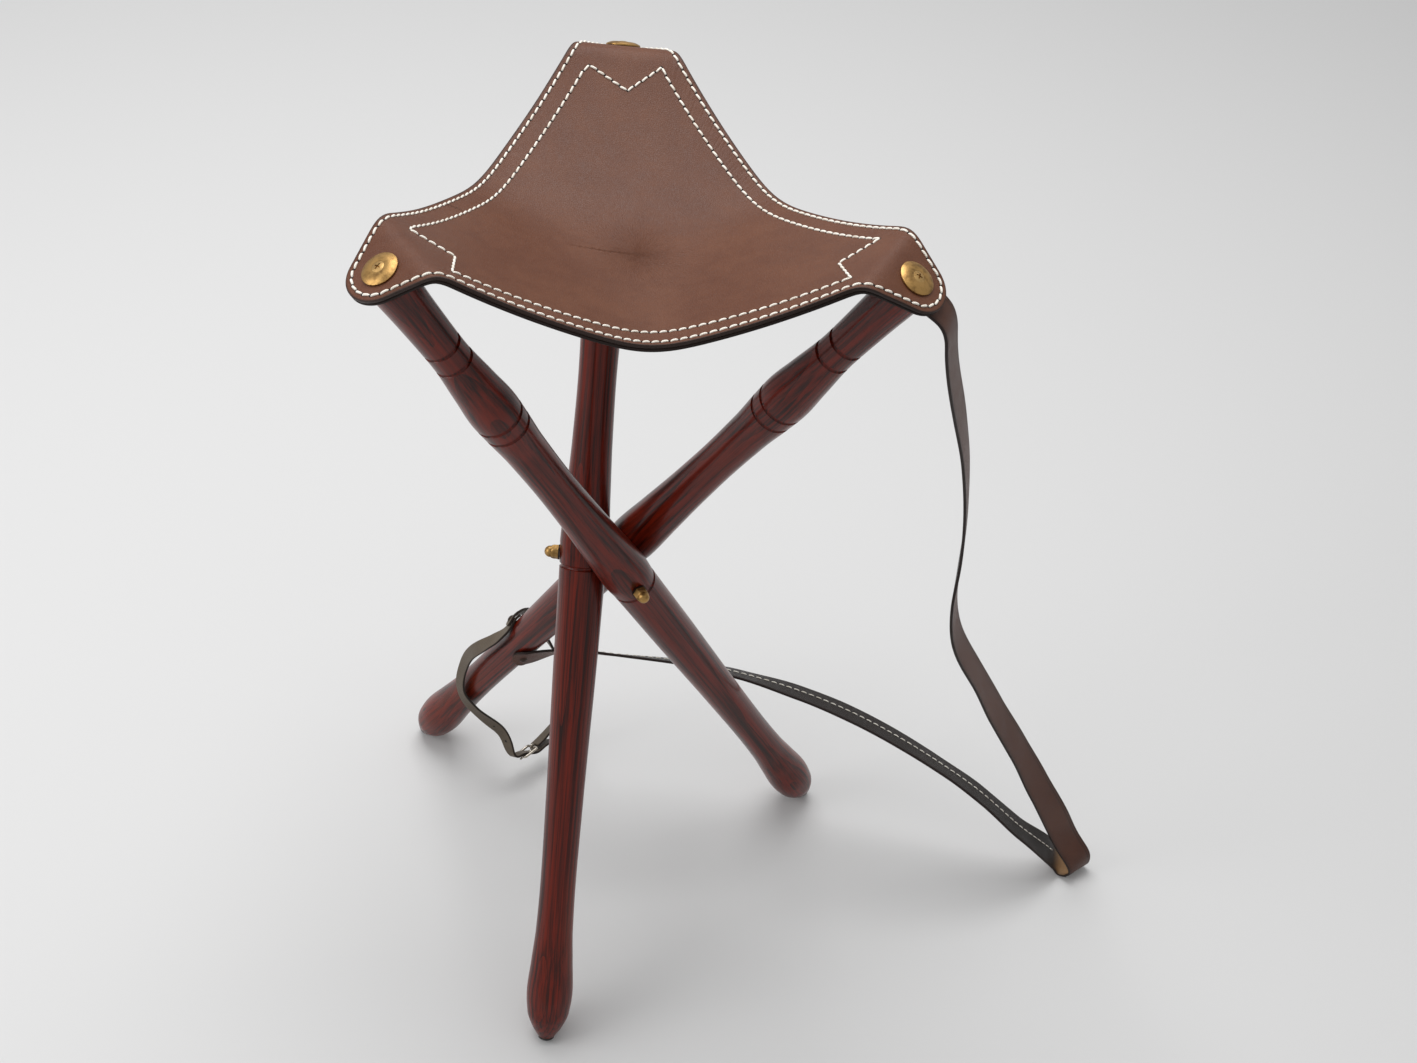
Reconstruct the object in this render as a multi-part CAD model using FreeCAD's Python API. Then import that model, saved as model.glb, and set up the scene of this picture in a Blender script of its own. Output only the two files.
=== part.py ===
"""Walking stick seat: three turned legs on a three-armed bolt, a leather sling seat and its two straps.

Millimetres. +Z is up, and +Y points at the back corner of the seat. The origin is on the floor,
under the middle of the whole stool. Pieces are made about the middle of the centre bolt's own
upright line, and are moved to the origin as they are saved.
"""
import FreeCAD
import Part
import math
import os

from FreeCAD import Vector

os.makedirs("parts", exist_ok=True)

# the stance: how far each leg leans, and where its own axis passes the middle of the bolt
leg_tilt = 30.3
stud_offset = 24.5
bolt_from_origin = (-12.0, -3.0)
arm_azimuth = {"left": -60.0, "back": 180.0, "right": 60.0}

# leg, measured along its own axis from the bolt's arm: up is plus, down is minus
foot_reach = 418.0
wood_top = 383.0
foot_tip_radius = 6.5
foot_bulb_radius = 19.1
foot_bulb_station = 44.0 - foot_reach
ankle_radius = 14.6
ankle_station = foot_bulb_station + 96.0
shin_radius = 15.5
shin_station = ankle_station + 80.0
below_pivot_radius = 17.6
below_pivot_station = -90.0
pivot_groove_station = -9.0
pivot_groove_radius = 18.6
pivot_swell_radius = 19.6
pivot_swell_station = 6.0
top_radius = 16.3
top_rounding = 2.2
neck_radius = 14.0
neck_station = wood_top - 78.0
neck_groove_half_gap = 8.7
barrel_radius = 18.8
barrel_station = neck_station - 69.0
upper_groove_station = barrel_station - 7.0
lower_groove_station = barrel_station - 20.0
waist_radius = 15.1
waist_share = 0.638
waist_station = pivot_swell_station + waist_share * (lower_groove_station - pivot_swell_station)
groove_wire = 1.7
groove_stand_off = 0.35

# pad on the tip of each foot, a ball-shaped cap worn flat where it meets the floor
pad_ball_radius = 9.0
pad_height = 4.0
pad_wear = 0.35

# centre bolt, its washers and dome nuts
arm_radius = 4.0
running_clearance = 0.05
thread_radius = 2.95
bolt_middle_radius = 4.4
nut_seat_radius = 18.9
nut_seat_width = 7.2
end_play = 0.15
pivot_washer_radius = 6.0
pivot_washer_thickness = 1.2
nut_across_flats = 10.0
nut_hexagon_height = 5.5
nut_height = 11.0
nut_thread_depth = 8.5

# what is screwed on top of each leg
spacer_radius = 10.0
spacer_height = 6.0
leather_clearance = 0.3
washer_clearance = 0.45
lining_thickness = 2.3
leather_thickness = 3.0
layer_gap = 0.1
corner_washer_radius = 13.0
corner_washer_height = 3.0
corner_washer_rim = 0.9
screw_radius = 2.5
screw_head_radius = 4.6
screw_head_height = 2.7
screw_cone_height = 2.1
screw_seat_gap = 0.05
screw_length = 52.0
screw_hole_clearance = 0.4
recess_depth = 1.5
recess_width = 1.0
recess_reach = 2.4

# seat leather: how far its edge lies from the screws and from the middle, and how deep it hangs
tab_radius = 25.0
edge_distance = 122.0
lifted_edge_distance = 129.0
edge_lift = 4.0
edge_lift_start = 40.0
edge_lift_half_width = 100.0
middle_drop = 57.0
edge_rise = 12.5
crest_inset = 20.0
crest_rounding = 14.0
valley_rounding = 16.0
lifted_sides = (("back", 1), ("left", -1))
surface_points = 49

# carrying strap
strap_width = 28.0
strap_thickness = 2.4
strap_sheet_gap = 0.35
strap_turn_step = 9.0
strap_longest_step = 14.0

# closing strap and its buckle
closing_width = 12.0
closing_thickness = 2.2
hole_radius = 1.1
buckle_wire = 1.2
buckle_inside = 13.0
buckle_length = 15.0
prong_radius = 0.9
buckle_bend = 1.6
buckle_middle = (-69.1, 84.5, 26.8)
buckle_along = (0.65, 0.75, 0.1)
buckle_out = (0.459, -0.286, -0.838)
closing_screw_station = -188.0
closing_screw_angle = 100.0
strap_end_station = -205.0
strap_end_angle = 228.0
strap_leg_gap = 0.4
closing_leg_gap = 0.65
closing_stack_gap = 0.75
strap_screw_radius = 1.75
strap_screw_head_radius = 3.6
strap_screw_head_height = 1.4
strap_screw_length = 12.0


def vertical(distance):
    """How much of a distance along a leg is height."""
    return distance * math.cos(math.radians(leg_tilt))


pivot_height = vertical(foot_reach - pad_ball_radius) + pad_ball_radius - pad_wear
drawn_pivot_height = 361.78
layer_station = wood_top + spacer_height + leather_clearance + lining_thickness + layer_gap / 2


def leg_place(corner):
    """Placement that carries a leg from upright, with its arm along +X, to where it stands."""
    lean = FreeCAD.Rotation(Vector(1, 0, 0), leg_tilt)
    turn = FreeCAD.Rotation(Vector(0, 0, 1), arm_azimuth[corner])
    return FreeCAD.Placement(Vector(0, 0, pivot_height), turn.multiply(lean))


def arm_place(corner):
    """Placement that carries an upright piece on an arm of the bolt to that arm."""
    turn = FreeCAD.Rotation(Vector(0, 0, 1), arm_azimuth[corner])
    return FreeCAD.Placement(Vector(0, 0, pivot_height), turn)


def moved(shape, placement):
    """A copy of the shape at a placement."""
    copy = shape.copy()
    copy.Placement = placement.multiply(copy.Placement)
    return copy


def save(shape, name):
    """Write one node, moved so that the origin lies under the middle of the stool."""
    shape = shape.copy()
    shape.translate(Vector(bolt_from_origin[0], bolt_from_origin[1], 0))
    shape.exportStep("parts/" + name + ".step")
    box = shape.optimalBoundingBox(False)
    bounds = [round(value, 1) for value in (box.XMin, box.XMax, box.YMin, box.YMax, box.ZMin, box.ZMax)]
    print(name, round(shape.Volume, 1), shape.isValid(), len(shape.Solids), bounds)


def curve_through(points):
    """A smooth edge through points."""
    curve = Part.BSplineCurve()
    curve.interpolate(points)
    return curve.toShape()


def leg_outline_point(station, radius):
    """A point of a leg's outline, with the leg's axis at the stud offset."""
    return Vector(stud_offset + radius, 0, station)


def lower_leg_points():
    """The turned outline from the foot's tip up to the groove at the bolt."""
    wood_end = -(foot_reach - pad_height)
    return [
        leg_outline_point(wood_end, foot_tip_radius),
        leg_outline_point(wood_end + 9, 0.62 * foot_bulb_radius + 0.5),
        leg_outline_point(wood_end + 22, 0.91 * foot_bulb_radius),
        leg_outline_point(foot_bulb_station, foot_bulb_radius),
        leg_outline_point(foot_bulb_station + 28, 0.9 * foot_bulb_radius),
        leg_outline_point(ankle_station - 40, ankle_radius + 0.7),
        leg_outline_point(ankle_station, ankle_radius),
        leg_outline_point(shin_station, shin_radius),
        leg_outline_point(below_pivot_station, below_pivot_radius),
        leg_outline_point(pivot_groove_station, pivot_groove_radius),
    ]


def upper_leg_points():
    """The turned outline from the groove at the bolt up to where the top's rounding starts."""
    return [
        leg_outline_point(pivot_groove_station, pivot_groove_radius),
        leg_outline_point(pivot_swell_station, pivot_swell_radius),
        leg_outline_point(pivot_swell_station + 40, 0.91 * pivot_swell_radius),
        leg_outline_point(waist_station - 45, waist_radius + 0.8),
        leg_outline_point(waist_station, waist_radius),
        leg_outline_point(waist_station + 45, waist_radius + 0.8),
        leg_outline_point(lower_groove_station, 0.95 * barrel_radius),
        leg_outline_point(barrel_station, barrel_radius),
        leg_outline_point(barrel_station + 28, 0.89 * barrel_radius),
        leg_outline_point(neck_station, neck_radius),
        leg_outline_point(neck_station + 40, neck_radius + 0.8),
        leg_outline_point(wood_top - top_rounding, top_radius),
    ]


def turned_leg():
    """The round wooden body of a leg, before its grooves and holes."""
    axis = Vector(stud_offset, 0, 0)
    wood_end = -(foot_reach - pad_height)
    bottom = Part.makeLine(Vector(stud_offset, 0, wood_end), leg_outline_point(wood_end, foot_tip_radius))
    lower = curve_through(lower_leg_points())
    upper = curve_through(upper_leg_points())
    corner_start = leg_outline_point(wood_top - top_rounding, top_radius)
    corner_end = leg_outline_point(wood_top, top_radius - top_rounding)
    slope = top_rounding * (1 - math.sqrt(0.5))
    corner_middle = leg_outline_point(wood_top - slope, top_radius - slope)
    rounding = Part.Arc(corner_start, corner_middle, corner_end).toShape()
    top = Part.makeLine(corner_end, Vector(stud_offset, 0, wood_top))
    middle = Part.makeLine(Vector(stud_offset, 0, wood_top), Vector(stud_offset, 0, wood_end))
    outline = Part.Wire([bottom, lower, upper, rounding, top, middle])
    return Part.Face(outline).revolve(axis, Vector(0, 0, 1), 360)


def radius_at(leg, station):
    """The leg's radius at a station, measured on the solid."""
    ray = Part.makeLine(Vector(stud_offset, 0, station), Vector(stud_offset + 40, 0, station))
    return leg.common(ray).Length


def ring_groove(leg, station):
    """A turned round groove, as the ring of wire that would fill it."""
    ring_radius = radius_at(leg, station) + groove_stand_off
    return Part.makeTorus(ring_radius, groove_wire, Vector(stud_offset, 0, station), Vector(0, 0, 1))


def groove_stations():
    """Where each leg has its turned grooves."""
    return [
        pivot_groove_station,
        lower_groove_station,
        upper_groove_station,
        neck_station - neck_groove_half_gap,
        neck_station + neck_groove_half_gap,
    ]


def make_leg():
    """One wooden leg, upright, with its arm hole along +X."""
    leg = turned_leg()
    for groove in [ring_groove(leg, station) for station in groove_stations()]:
        leg = leg.cut(groove)
    arm_hole = Part.makeCylinder(arm_radius + running_clearance, 120, Vector(-20, 0, 0), Vector(1, 0, 0))
    seat_start = Vector(stud_offset + nut_seat_radius, 0, 0)
    nut_seat = Part.makeCylinder(nut_seat_width, 20, seat_start, Vector(1, 0, 0))
    screw_depth = corner_screw_depth()
    pilot_start = Vector(stud_offset, 0, wood_top - screw_depth)
    pilot = Part.makeCylinder(screw_radius, screw_depth + 5, pilot_start, Vector(0, 0, 1))
    return leg.cut(arm_hole).cut(nut_seat).cut(pilot)


def make_foot_pad(corner):
    """The dark pad on a foot's tip: a short drum with a ball-shaped end, flat on the floor."""
    centre = Vector(stud_offset, 0, -(foot_reach - pad_ball_radius))
    ball = Part.makeSphere(pad_ball_radius, centre)
    tip = Vector(stud_offset, 0, -foot_reach)
    drum = Part.makeCylinder(foot_tip_radius, pad_height, tip, Vector(0, 0, 1))
    floor = Part.makeBox(1000, 1000, 20, Vector(-500, -500, -20))
    return moved(ball.common(drum), leg_place(corner)).cut(floor)


def make_centre_bolt():
    """Three arms that meet at 120 degrees, each with a threaded end."""
    shoulder = stud_offset + nut_seat_radius + end_play
    thread_end = shoulder + pivot_washer_thickness + nut_thread_depth
    bolt = Part.makeSphere(bolt_middle_radius)
    for corner in arm_azimuth:
        arm = Part.makeCylinder(arm_radius, shoulder, Vector(0, 0, 0), Vector(1, 0, 0))
        thread = Part.makeCylinder(thread_radius, thread_end, Vector(0, 0, 0), Vector(1, 0, 0))
        turn = FreeCAD.Placement(Vector(0, 0, 0), FreeCAD.Rotation(Vector(0, 0, 1), arm_azimuth[corner]))
        bolt = bolt.fuse(moved(arm.fuse(thread), turn))
    bolt = bolt.removeSplitter()
    bolt.translate(Vector(0, 0, pivot_height))
    return bolt


def make_pivot_washer():
    """The flat washer between a leg and its dome nut, on an arm along +X."""
    start = Vector(stud_offset + nut_seat_radius + end_play, 0, 0)
    disc = Part.makeCylinder(pivot_washer_radius, pivot_washer_thickness, start, Vector(1, 0, 0))
    hole = Part.makeCylinder(thread_radius, 60, Vector(0, 0, 0), Vector(1, 0, 0))
    return disc.cut(hole)


def make_dome_nut():
    """A hexagon nut with a closed round cap, on an arm along +X."""
    start = stud_offset + nut_seat_radius + end_play + pivot_washer_thickness
    hexagon_radius = nut_across_flats / math.sqrt(3)
    corners = [
        Vector(
            start,
            hexagon_radius * math.cos(math.radians(60 * step)),
            hexagon_radius * math.sin(math.radians(60 * step)),
        )
        for step in range(7)
    ]
    hexagon = Part.Face(Part.makePolygon(corners)).extrude(Vector(nut_hexagon_height, 0, 0))
    bevel_start = Vector(start - 0.6, 0, 0)
    bevel_length = nut_hexagon_height + 1
    bevel = Part.makeCone(
        hexagon_radius + 1.6, nut_across_flats / 2 - 0.2, bevel_length, bevel_start, Vector(1, 0, 0)
    )
    dome_radius = nut_across_flats / 2 - 0.4
    dome_start = Vector(start + nut_hexagon_height - 0.1, 0, 0)
    neck_length = nut_height - nut_hexagon_height - dome_radius + 0.1
    neck = Part.makeCylinder(dome_radius, neck_length, dome_start, Vector(1, 0, 0))
    dome_centre = Vector(start + nut_height - dome_radius, 0, 0)
    dome = Part.makeSphere(dome_radius, dome_centre)
    outside = Part.makeCylinder(dome_radius, dome_radius, dome_centre, Vector(1, 0, 0))
    cap = dome.common(outside)
    nut = hexagon.common(bevel).fuse(neck).fuse(cap).removeSplitter()
    thread = Part.makeCylinder(thread_radius, nut_thread_depth, Vector(start, 0, 0), Vector(1, 0, 0))
    return nut.cut(thread)


def make_corner_spacer(height):
    """The brass ring that stands between a leg's top and the leather."""
    start = Vector(stud_offset, 0, wood_top)
    ring = Part.makeCylinder(spacer_radius, height, start, Vector(0, 0, 1))
    ring = ring.makeFillet(0.8, [edge for edge in ring.Edges if edge.Length > 4 * spacer_radius])
    hole = Part.makeCylinder(screw_radius, height + 2, start - Vector(0, 0, 1), Vector(0, 0, 1))
    return ring.cut(hole)


def corner_washer_base():
    """The height at which a corner washer's rim lies, along the leg."""
    return layer_station + layer_gap / 2 + leather_thickness + washer_clearance


def corner_screw_depth():
    """How deep a corner screw goes into the wood."""
    return screw_length - (corner_washer_base() - wood_top)


def make_corner_washer():
    """A dished brass washer: a low dome with a sunk seat for the screw's head."""
    base = corner_washer_base()

    def at(radius, height):
        return Vector(stud_offset + radius, 0, base + height)

    sink_bottom = corner_washer_height - screw_head_height
    sink_edge = sink_bottom + screw_cone_height
    hole = screw_radius + screw_seat_gap
    sink_radius = screw_head_radius + screw_seat_gap
    outer = Part.Arc(
        at(corner_washer_radius, corner_washer_rim),
        at(0.78 * corner_washer_radius, 0.77 * corner_washer_height),
        at(screw_head_radius + 1.3, corner_washer_height),
    ).toShape()
    corners = [
        at(screw_head_radius + 1.3, corner_washer_height),
        at(sink_radius, corner_washer_height),
        at(sink_radius, sink_edge),
        at(hole, sink_bottom),
        at(hole, 0),
        at(corner_washer_radius, 0),
        at(corner_washer_radius, corner_washer_rim),
    ]
    sides = [outer] + Part.makePolygon(corners).Edges
    return Part.Face(Part.Wire(sides)).revolve(Vector(stud_offset, 0, 0), Vector(0, 0, 1), 360)


def cross_recess(top):
    """The cross cut into a screw's head, standing on the axis at x = stud offset."""
    bars = []
    for turn in (0, 90):
        bar = Part.makeBox(2 * recess_reach, recess_width, recess_depth + 2)
        bar.translate(Vector(-recess_reach, -recess_width / 2, top - recess_depth))
        bar.rotate(Vector(0, 0, 0), Vector(0, 0, 1), turn + 20)
        bars.append(bar)
    cross = bars[0].fuse(bars[1])
    cross.translate(Vector(stud_offset, 0, 0))
    return cross


def make_corner_screw():
    """A countersunk screw with a slightly raised head."""
    head_top = corner_washer_base() + corner_washer_height - 0.1
    head_bottom = corner_washer_base() + corner_washer_height - screw_head_height
    cone = Part.makeCone(
        screw_radius, screw_head_radius, screw_cone_height, Vector(stud_offset, 0, head_bottom), Vector(0, 0, 1)
    )
    disc_start = Vector(stud_offset, 0, head_bottom + screw_cone_height)
    disc = Part.makeCylinder(screw_head_radius, head_top - disc_start.z, disc_start, Vector(0, 0, 1))
    crown_radius = 14.0
    crown_top = head_top + 0.7
    crown = Part.makeSphere(crown_radius, Vector(stud_offset, 0, crown_top - crown_radius))
    crown_disc = Part.makeCylinder(screw_head_radius, 2, disc_start, Vector(0, 0, 1))
    shank_bottom = corner_washer_base() - screw_length
    shank = Part.makeCylinder(
        screw_radius, head_bottom - shank_bottom, Vector(stud_offset, 0, shank_bottom), Vector(0, 0, 1)
    )
    screw = shank.fuse(cone).fuse(disc).fuse(crown.common(crown_disc)).removeSplitter()
    return screw.cut(cross_recess(crown_top))


def smooth_lower(first, second, width):
    """The lower of two heights, rounded where they meet within a width."""
    share = max(width - abs(first - second), 0) / width
    return min(first, second) - share ** 3 * width / 6


def smooth_higher(first, second, width):
    """The higher of two heights, rounded where they meet within a width."""
    return -smooth_lower(-first, -second, width)


def corner_point(corner):
    """Where a leg's axis meets the plane between the two leathers."""
    return leg_place(corner).multVec(Vector(stud_offset, 0, layer_station))


def leg_direction(corner):
    """The unit vector up a leg's axis."""
    return leg_place(corner).Rotation.multVec(Vector(0, 0, 1))


corner_radius = math.hypot(corner_point("back").x, corner_point("back").y)
corner_height = corner_point("back").z
corner_bearing = {c: math.atan2(corner_point(c).y, corner_point(c).x) for c in arm_azimuth}


def sling_height(reach):
    """Height above the seat's middle of leather that rises towards a corner, at a reach from the middle."""
    half_edge = edge_distance / 2
    crest_reach = corner_radius - crest_inset
    crest_height = middle_drop + crest_inset * math.tan(math.radians(leg_tilt))
    bend = (crest_height / crest_reach - edge_rise / half_edge) / (crest_reach - half_edge)
    start = edge_rise / half_edge - bend * half_edge
    return start * reach + bend * reach * reach


def tab_height(corner, x, y):
    """Height above the seat's middle of the flat tab that lies square on a leg."""
    point = corner_point(corner)
    up = leg_direction(corner)
    return middle_drop - ((x - point.x) * up.x + (y - point.y) * up.y) / up.z


def edge_lift_at(x, y):
    """How much higher the leather hangs towards the middle of the edge from left to back."""
    bearing = corner_bearing["back"] + math.pi / 3
    reach = x * math.cos(bearing) + y * math.sin(bearing)
    across = -x * math.sin(bearing) + y * math.cos(bearing)
    rise = max(reach - edge_lift_start, 0) / (lifted_edge_distance - edge_lift_start)
    fade = max(1 - (across / edge_lift_half_width) ** 2, 0)
    return edge_lift * rise ** 2 * fade ** 2


def seat_height(x, y):
    """Height of the plane between the two leathers over a point of the floor."""
    heights = []
    for corner in arm_azimuth:
        bearing = corner_bearing[corner]
        reach = x * math.cos(bearing) + y * math.sin(bearing)
        sling = sling_height(reach)
        heights.append(smooth_lower(sling, tab_height(corner, x, y), crest_rounding))
    heights.sort()
    highest = smooth_higher(heights[2], heights[1], valley_rounding)
    highest = smooth_higher(highest, heights[0], valley_rounding)
    return corner_height - middle_drop + highest + edge_lift_at(x, y)


def layer_height(x, y, offset):
    """Height of a surface that lies a distance above the plane between the leathers, square to it."""
    step = 0.5
    slope_x = (seat_height(x + step, y) - seat_height(x - step, y)) / (2 * step)
    slope_y = (seat_height(x, y + step) - seat_height(x, y - step)) / (2 * step)
    return seat_height(x, y) + offset * math.sqrt(1 + slope_x ** 2 + slope_y ** 2)


def layer_surface(offset):
    """A smooth surface through a square grid of heights, wider than the whole seat."""
    reach = corner_radius + tab_radius + 8
    places = [reach * (2 * step / (surface_points - 1) - 1) for step in range(surface_points)]
    surface = Part.BSplineSurface()
    surface.interpolate([[Vector(x, y, layer_height(x, y, offset)) for y in places] for x in places])
    return surface


def slab_between(lower, upper):
    """The solid between two surfaces that lie over the same square."""
    faces = [lower.toShape(), upper.toShape()]
    low_u, high_u, low_v, high_v = lower.bounds()
    for value in (low_u, high_u):
        faces.append(Part.makeRuledSurface(lower.uIso(value).toShape(), upper.uIso(value).toShape()))
    for value in (low_v, high_v):
        faces.append(Part.makeRuledSurface(lower.vIso(value).toShape(), upper.vIso(value).toShape()))
    shell = Part.makeShell(faces)
    shell.sewShape()
    solid = Part.Solid(shell)
    if solid.Volume < 0:
        solid.reverse()
    return solid


def seat_outline():
    """The seat's edge on the floor plan: a rounded tab at each corner and a shallow curve between tabs."""
    along = tab_radius * math.cos(math.radians(leg_tilt))
    tip_angles = [math.radians(60 - 20 * step) for step in range(7)]
    edges = []
    for corner in arm_azimuth:
        bearing = FreeCAD.Rotation(Vector(0, 0, 1), math.degrees(corner_bearing[corner]))
        tip = [
            Vector(corner_radius + along * math.cos(angle), tab_radius * math.sin(angle), 0)
            for angle in tip_angles
        ]
        edges.append(curve_through([bearing.multVec(point) for point in tip]))
        for side in (1, -1):
            distance = lifted_edge_distance if (corner, side) in lifted_sides else edge_distance
            angle = side * math.pi / 3
            middle = Vector(distance * math.cos(angle), distance * math.sin(angle), 0)
            level = Vector(math.sin(angle), -math.cos(angle), 0)
            tip_end = tip[0] if side == 1 else tip[-1]
            half = middle + level * ((tip_end - middle).dot(level) / 2)
            edges.append(bezier([middle, half, tip_end], bearing))
    return Part.Wire(Part.__sortEdges__(edges))


def bezier(points, turn):
    """A curve pulled by points, after a turn."""
    curve = Part.BezierCurve()
    curve.setPoles([turn.multVec(point) for point in points])
    return curve.toShape()


def leather_layer(bottom, top):
    """One leather of the seat as a solid, between two distances from the plane between the leathers."""
    slab = slab_between(layer_surface(bottom), layer_surface(top))
    outline = Part.Face(seat_outline()).extrude(Vector(0, 0, 2 * corner_height))
    layer = slab.common(outline)
    for corner in arm_azimuth:
        start = Vector(stud_offset, 0, layer_station - 20)
        hole = Part.makeCylinder(screw_radius + screw_hole_clearance, 40, start, Vector(0, 0, 1))
        layer = layer.cut(moved(hole, leg_place(corner)))
    return max(layer.Solids, key=lambda solid: solid.Volume)


def look_at(marks, looks, value):
    """The outer face's direction at a place on a route, blended between the directions given at marks."""
    for first, second, look, following in zip(marks, marks[1:], looks, looks[1:]):
        if value <= second:
            part = (value - first) / (second - first)
            part = part * part * (3 - 2 * part)
            return (look * (1 - part) + following * part).normalize()
    return looks[-1]


def stations_along(route):
    """Parameters along a route, closer together where it bends."""
    count = 600
    length = route.length()
    values = [route.parameterAtDistance(length * step / count, route.FirstParameter) for step in range(count + 1)]
    kept = [values[0]]
    turned = 0.0
    travelled = 0.0
    for first, second in zip(values, values[1:]):
        turned += math.degrees(route.tangent(first)[0].getAngle(route.tangent(second)[0]))
        travelled += length / count
        if turned > strap_turn_step or travelled > strap_longest_step:
            kept.append(second)
            turned = 0.0
            travelled = 0.0
    if travelled > 4:
        kept.append(values[-1])
    else:
        kept[-1] = values[-1]
    return kept


def ribbon_face(first, second):
    """The face that straight lines sweep between two curves with the same knots."""
    surface = Part.BSplineSurface()
    poles = [first.getPoles(), second.getPoles()]
    knots = first.getKnots()
    turns = first.getMultiplicities()
    surface.buildFromPolesMultsKnots(poles, (2, 2), turns, (0.0, 1.0), knots, False, False, 1, first.Degree)
    return surface.toShape()


def strap_solid(stops, width, thickness):
    """A flat strap along a smooth route. Each stop is a point and the way the outer face looks there."""
    points = [Vector(*point) for point, look in stops]
    looks = [Vector(*look).normalize() for point, look in stops]
    route = Part.BSplineCurve()
    route.interpolate(points)
    marks = [route.parameter(point) for point in points]
    values = stations_along(route)
    rails = [[], [], [], []]
    for value in values:
        middle = route.value(value)
        along = route.tangent(value)[0]
        side = along.cross(look_at(marks, looks, value)).normalize()
        out = side.cross(along).normalize()
        for rail, across, up in zip(rails, (-1, 1, 1, -1), (-1, -1, 1, 1)):
            rail.append(middle + side * (across * width / 2) + out * (up * thickness / 2))
    curves = []
    for rail in rails:
        curve = Part.BSplineCurve()
        curve.interpolate(Points=rail, Parameters=values)
        curves.append(curve)
    faces = [ribbon_face(curves[turn], curves[(turn + 1) % 4]) for turn in range(4)]
    for end in (0, -1):
        corners = [rail[end] for rail in rails]
        faces.append(Part.Face(Part.makePolygon(corners + corners[:1])))
    shell = Part.makeShell(faces)
    shell.sewShape()
    strap = Part.Solid(shell)
    if strap.Volume < 0:
        strap.reverse()
    print("strap length", round(route.length()), "sections", len(values), "low", round(strap.BoundBox.ZMin, 2))
    print("volume against length", round(strap.Volume / (route.length() * width * thickness), 3))
    return strap


def on_right_leg(x, y, station):
    """A point beside the right leg: x out along its arm, y over its upper side, station up the leg."""
    point = leg_place("right").multVec(Vector(stud_offset + x, y, station))
    return (point.x, point.y, point.z)


def hung(stops):
    """Stops of a hanging strap, with heights that keep their share of the bolt's height."""
    share = pivot_height / drawn_pivot_height
    return [((x, y, z * share), look) for (x, y, z), look in stops]


def right_leg_look(x, y, z):
    """A direction given in the right leg's own axes."""
    look = leg_place("right").Rotation.multVec(Vector(x, y, z))
    return (look.x, look.y, look.z)


def make_carry_strap():
    """The carrying strap: screwed under the right corner, down to the floor, and back to the right leg."""
    flat = wood_top + spacer_height - strap_sheet_gap - strap_thickness / 2
    up = right_leg_look(0, 0, 1)

    def under_corner(distance, drop):
        """A point on the straight line that the strap follows under the corner of the seat."""
        return on_right_leg(0.25 * distance, -0.968 * distance, flat - drop)

    def round_leg(degrees, rise):
        """A point where the strap's end lies round the leg, and the way its outer face looks."""
        angle = math.radians(strap_end_angle + degrees)
        gap = shin_radius + strap_thickness / 2 + strap_leg_gap
        point = on_right_leg(gap * math.cos(angle), gap * math.sin(angle), strap_end_station + rise)
        return point, right_leg_look(math.cos(angle), math.sin(angle), 0)

    stops = [
        (under_corner(-13, 0), up),
        (under_corner(-6.5, 0), up),
        (under_corner(0, 0), up),
        (under_corner(6.5, 0), up),
        (under_corner(13, 0), up),
        (under_corner(21, 0.1), up),
        (under_corner(31, 1.6), right_leg_look(0.1, -0.25, 0.95)),
    ]
    stops += hung([
        ((216, -80, 655), (0.85, -0.35, 0.40)),
        ((233, -60, 590), (0.92, -0.30, 0.25)),
        ((250, -40, 530), (0.96, -0.20, 0.18)),
        ((264, -24, 460), (0.98, -0.15, 0.15)),
        ((270, -18, 405), (0.98, -0.15, 0.08)),
        ((272, -19, 362), (0.97, -0.20, 0.10)),
        ((281, -17, 322), (0.93, -0.25, 0.25)),
        ((306, -8, 272), (0.89, -0.27, 0.38)),
        ((334, 2, 218), (0.83, -0.40, 0.40)),
        ((364, 10, 165), (0.79, -0.47, 0.40)),
        ((392, 13, 115), (0.66, -0.63, 0.40)),
        ((420, 14, 66), (0.52, -0.76, 0.36)),
        ((439, 12, 34), (0.55, -0.70, 0.40)),
        ((450, 8, 15), (0.64, -0.74, 0.10)),
        ((447, 12, 4), (0.20, -0.30, -0.93)),
        ((437, 18, 5), (-0.20, 0.25, -0.95)),
        ((424, 17, 19), (-0.55, 0.30, -0.78)),
        ((386, 11, 57), (-0.60, 0.00, -0.80)),
        ((347, 17, 90), (-0.60, -0.10, -0.78)),
        ((309, 24, 115), (-0.52, -0.20, -0.80)),
        ((265, 33, 138), (-0.42, -0.22, -0.88)),
        ((219, 45, 154), (-0.32, -0.25, -0.91)),
        ((173, 56, 164), (-0.22, -0.33, -0.92)),
        ((119, 68, 169), (-0.15, -0.50, -0.85)),
        ((73, 75, 171), (-0.12, -0.62, -0.77)),
        ((-7, 72, 178), (-0.05, -0.72, -0.69)),
        ((-38, 67, 183), (0.10, -0.74, -0.66)),
    ])
    stops += [
        round_leg(8, 1.1),
        round_leg(0, 0),
        round_leg(-9, -1.2),
        round_leg(-18, -2.4),
        round_leg(-30, -4),
    ]
    strap = strap_solid(stops, strap_width, strap_thickness)
    top_hole_start = Vector(stud_offset, 0, flat - 6)
    top_hole = Part.makeCylinder(screw_radius + 0.1, 12, top_hole_start, Vector(0, 0, 1))
    strap = strap.cut(moved(top_hole, leg_place("right")))
    end_hole = moved(strap_screw_hole(), strap_end_place())
    return strap.cut(end_hole)


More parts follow.
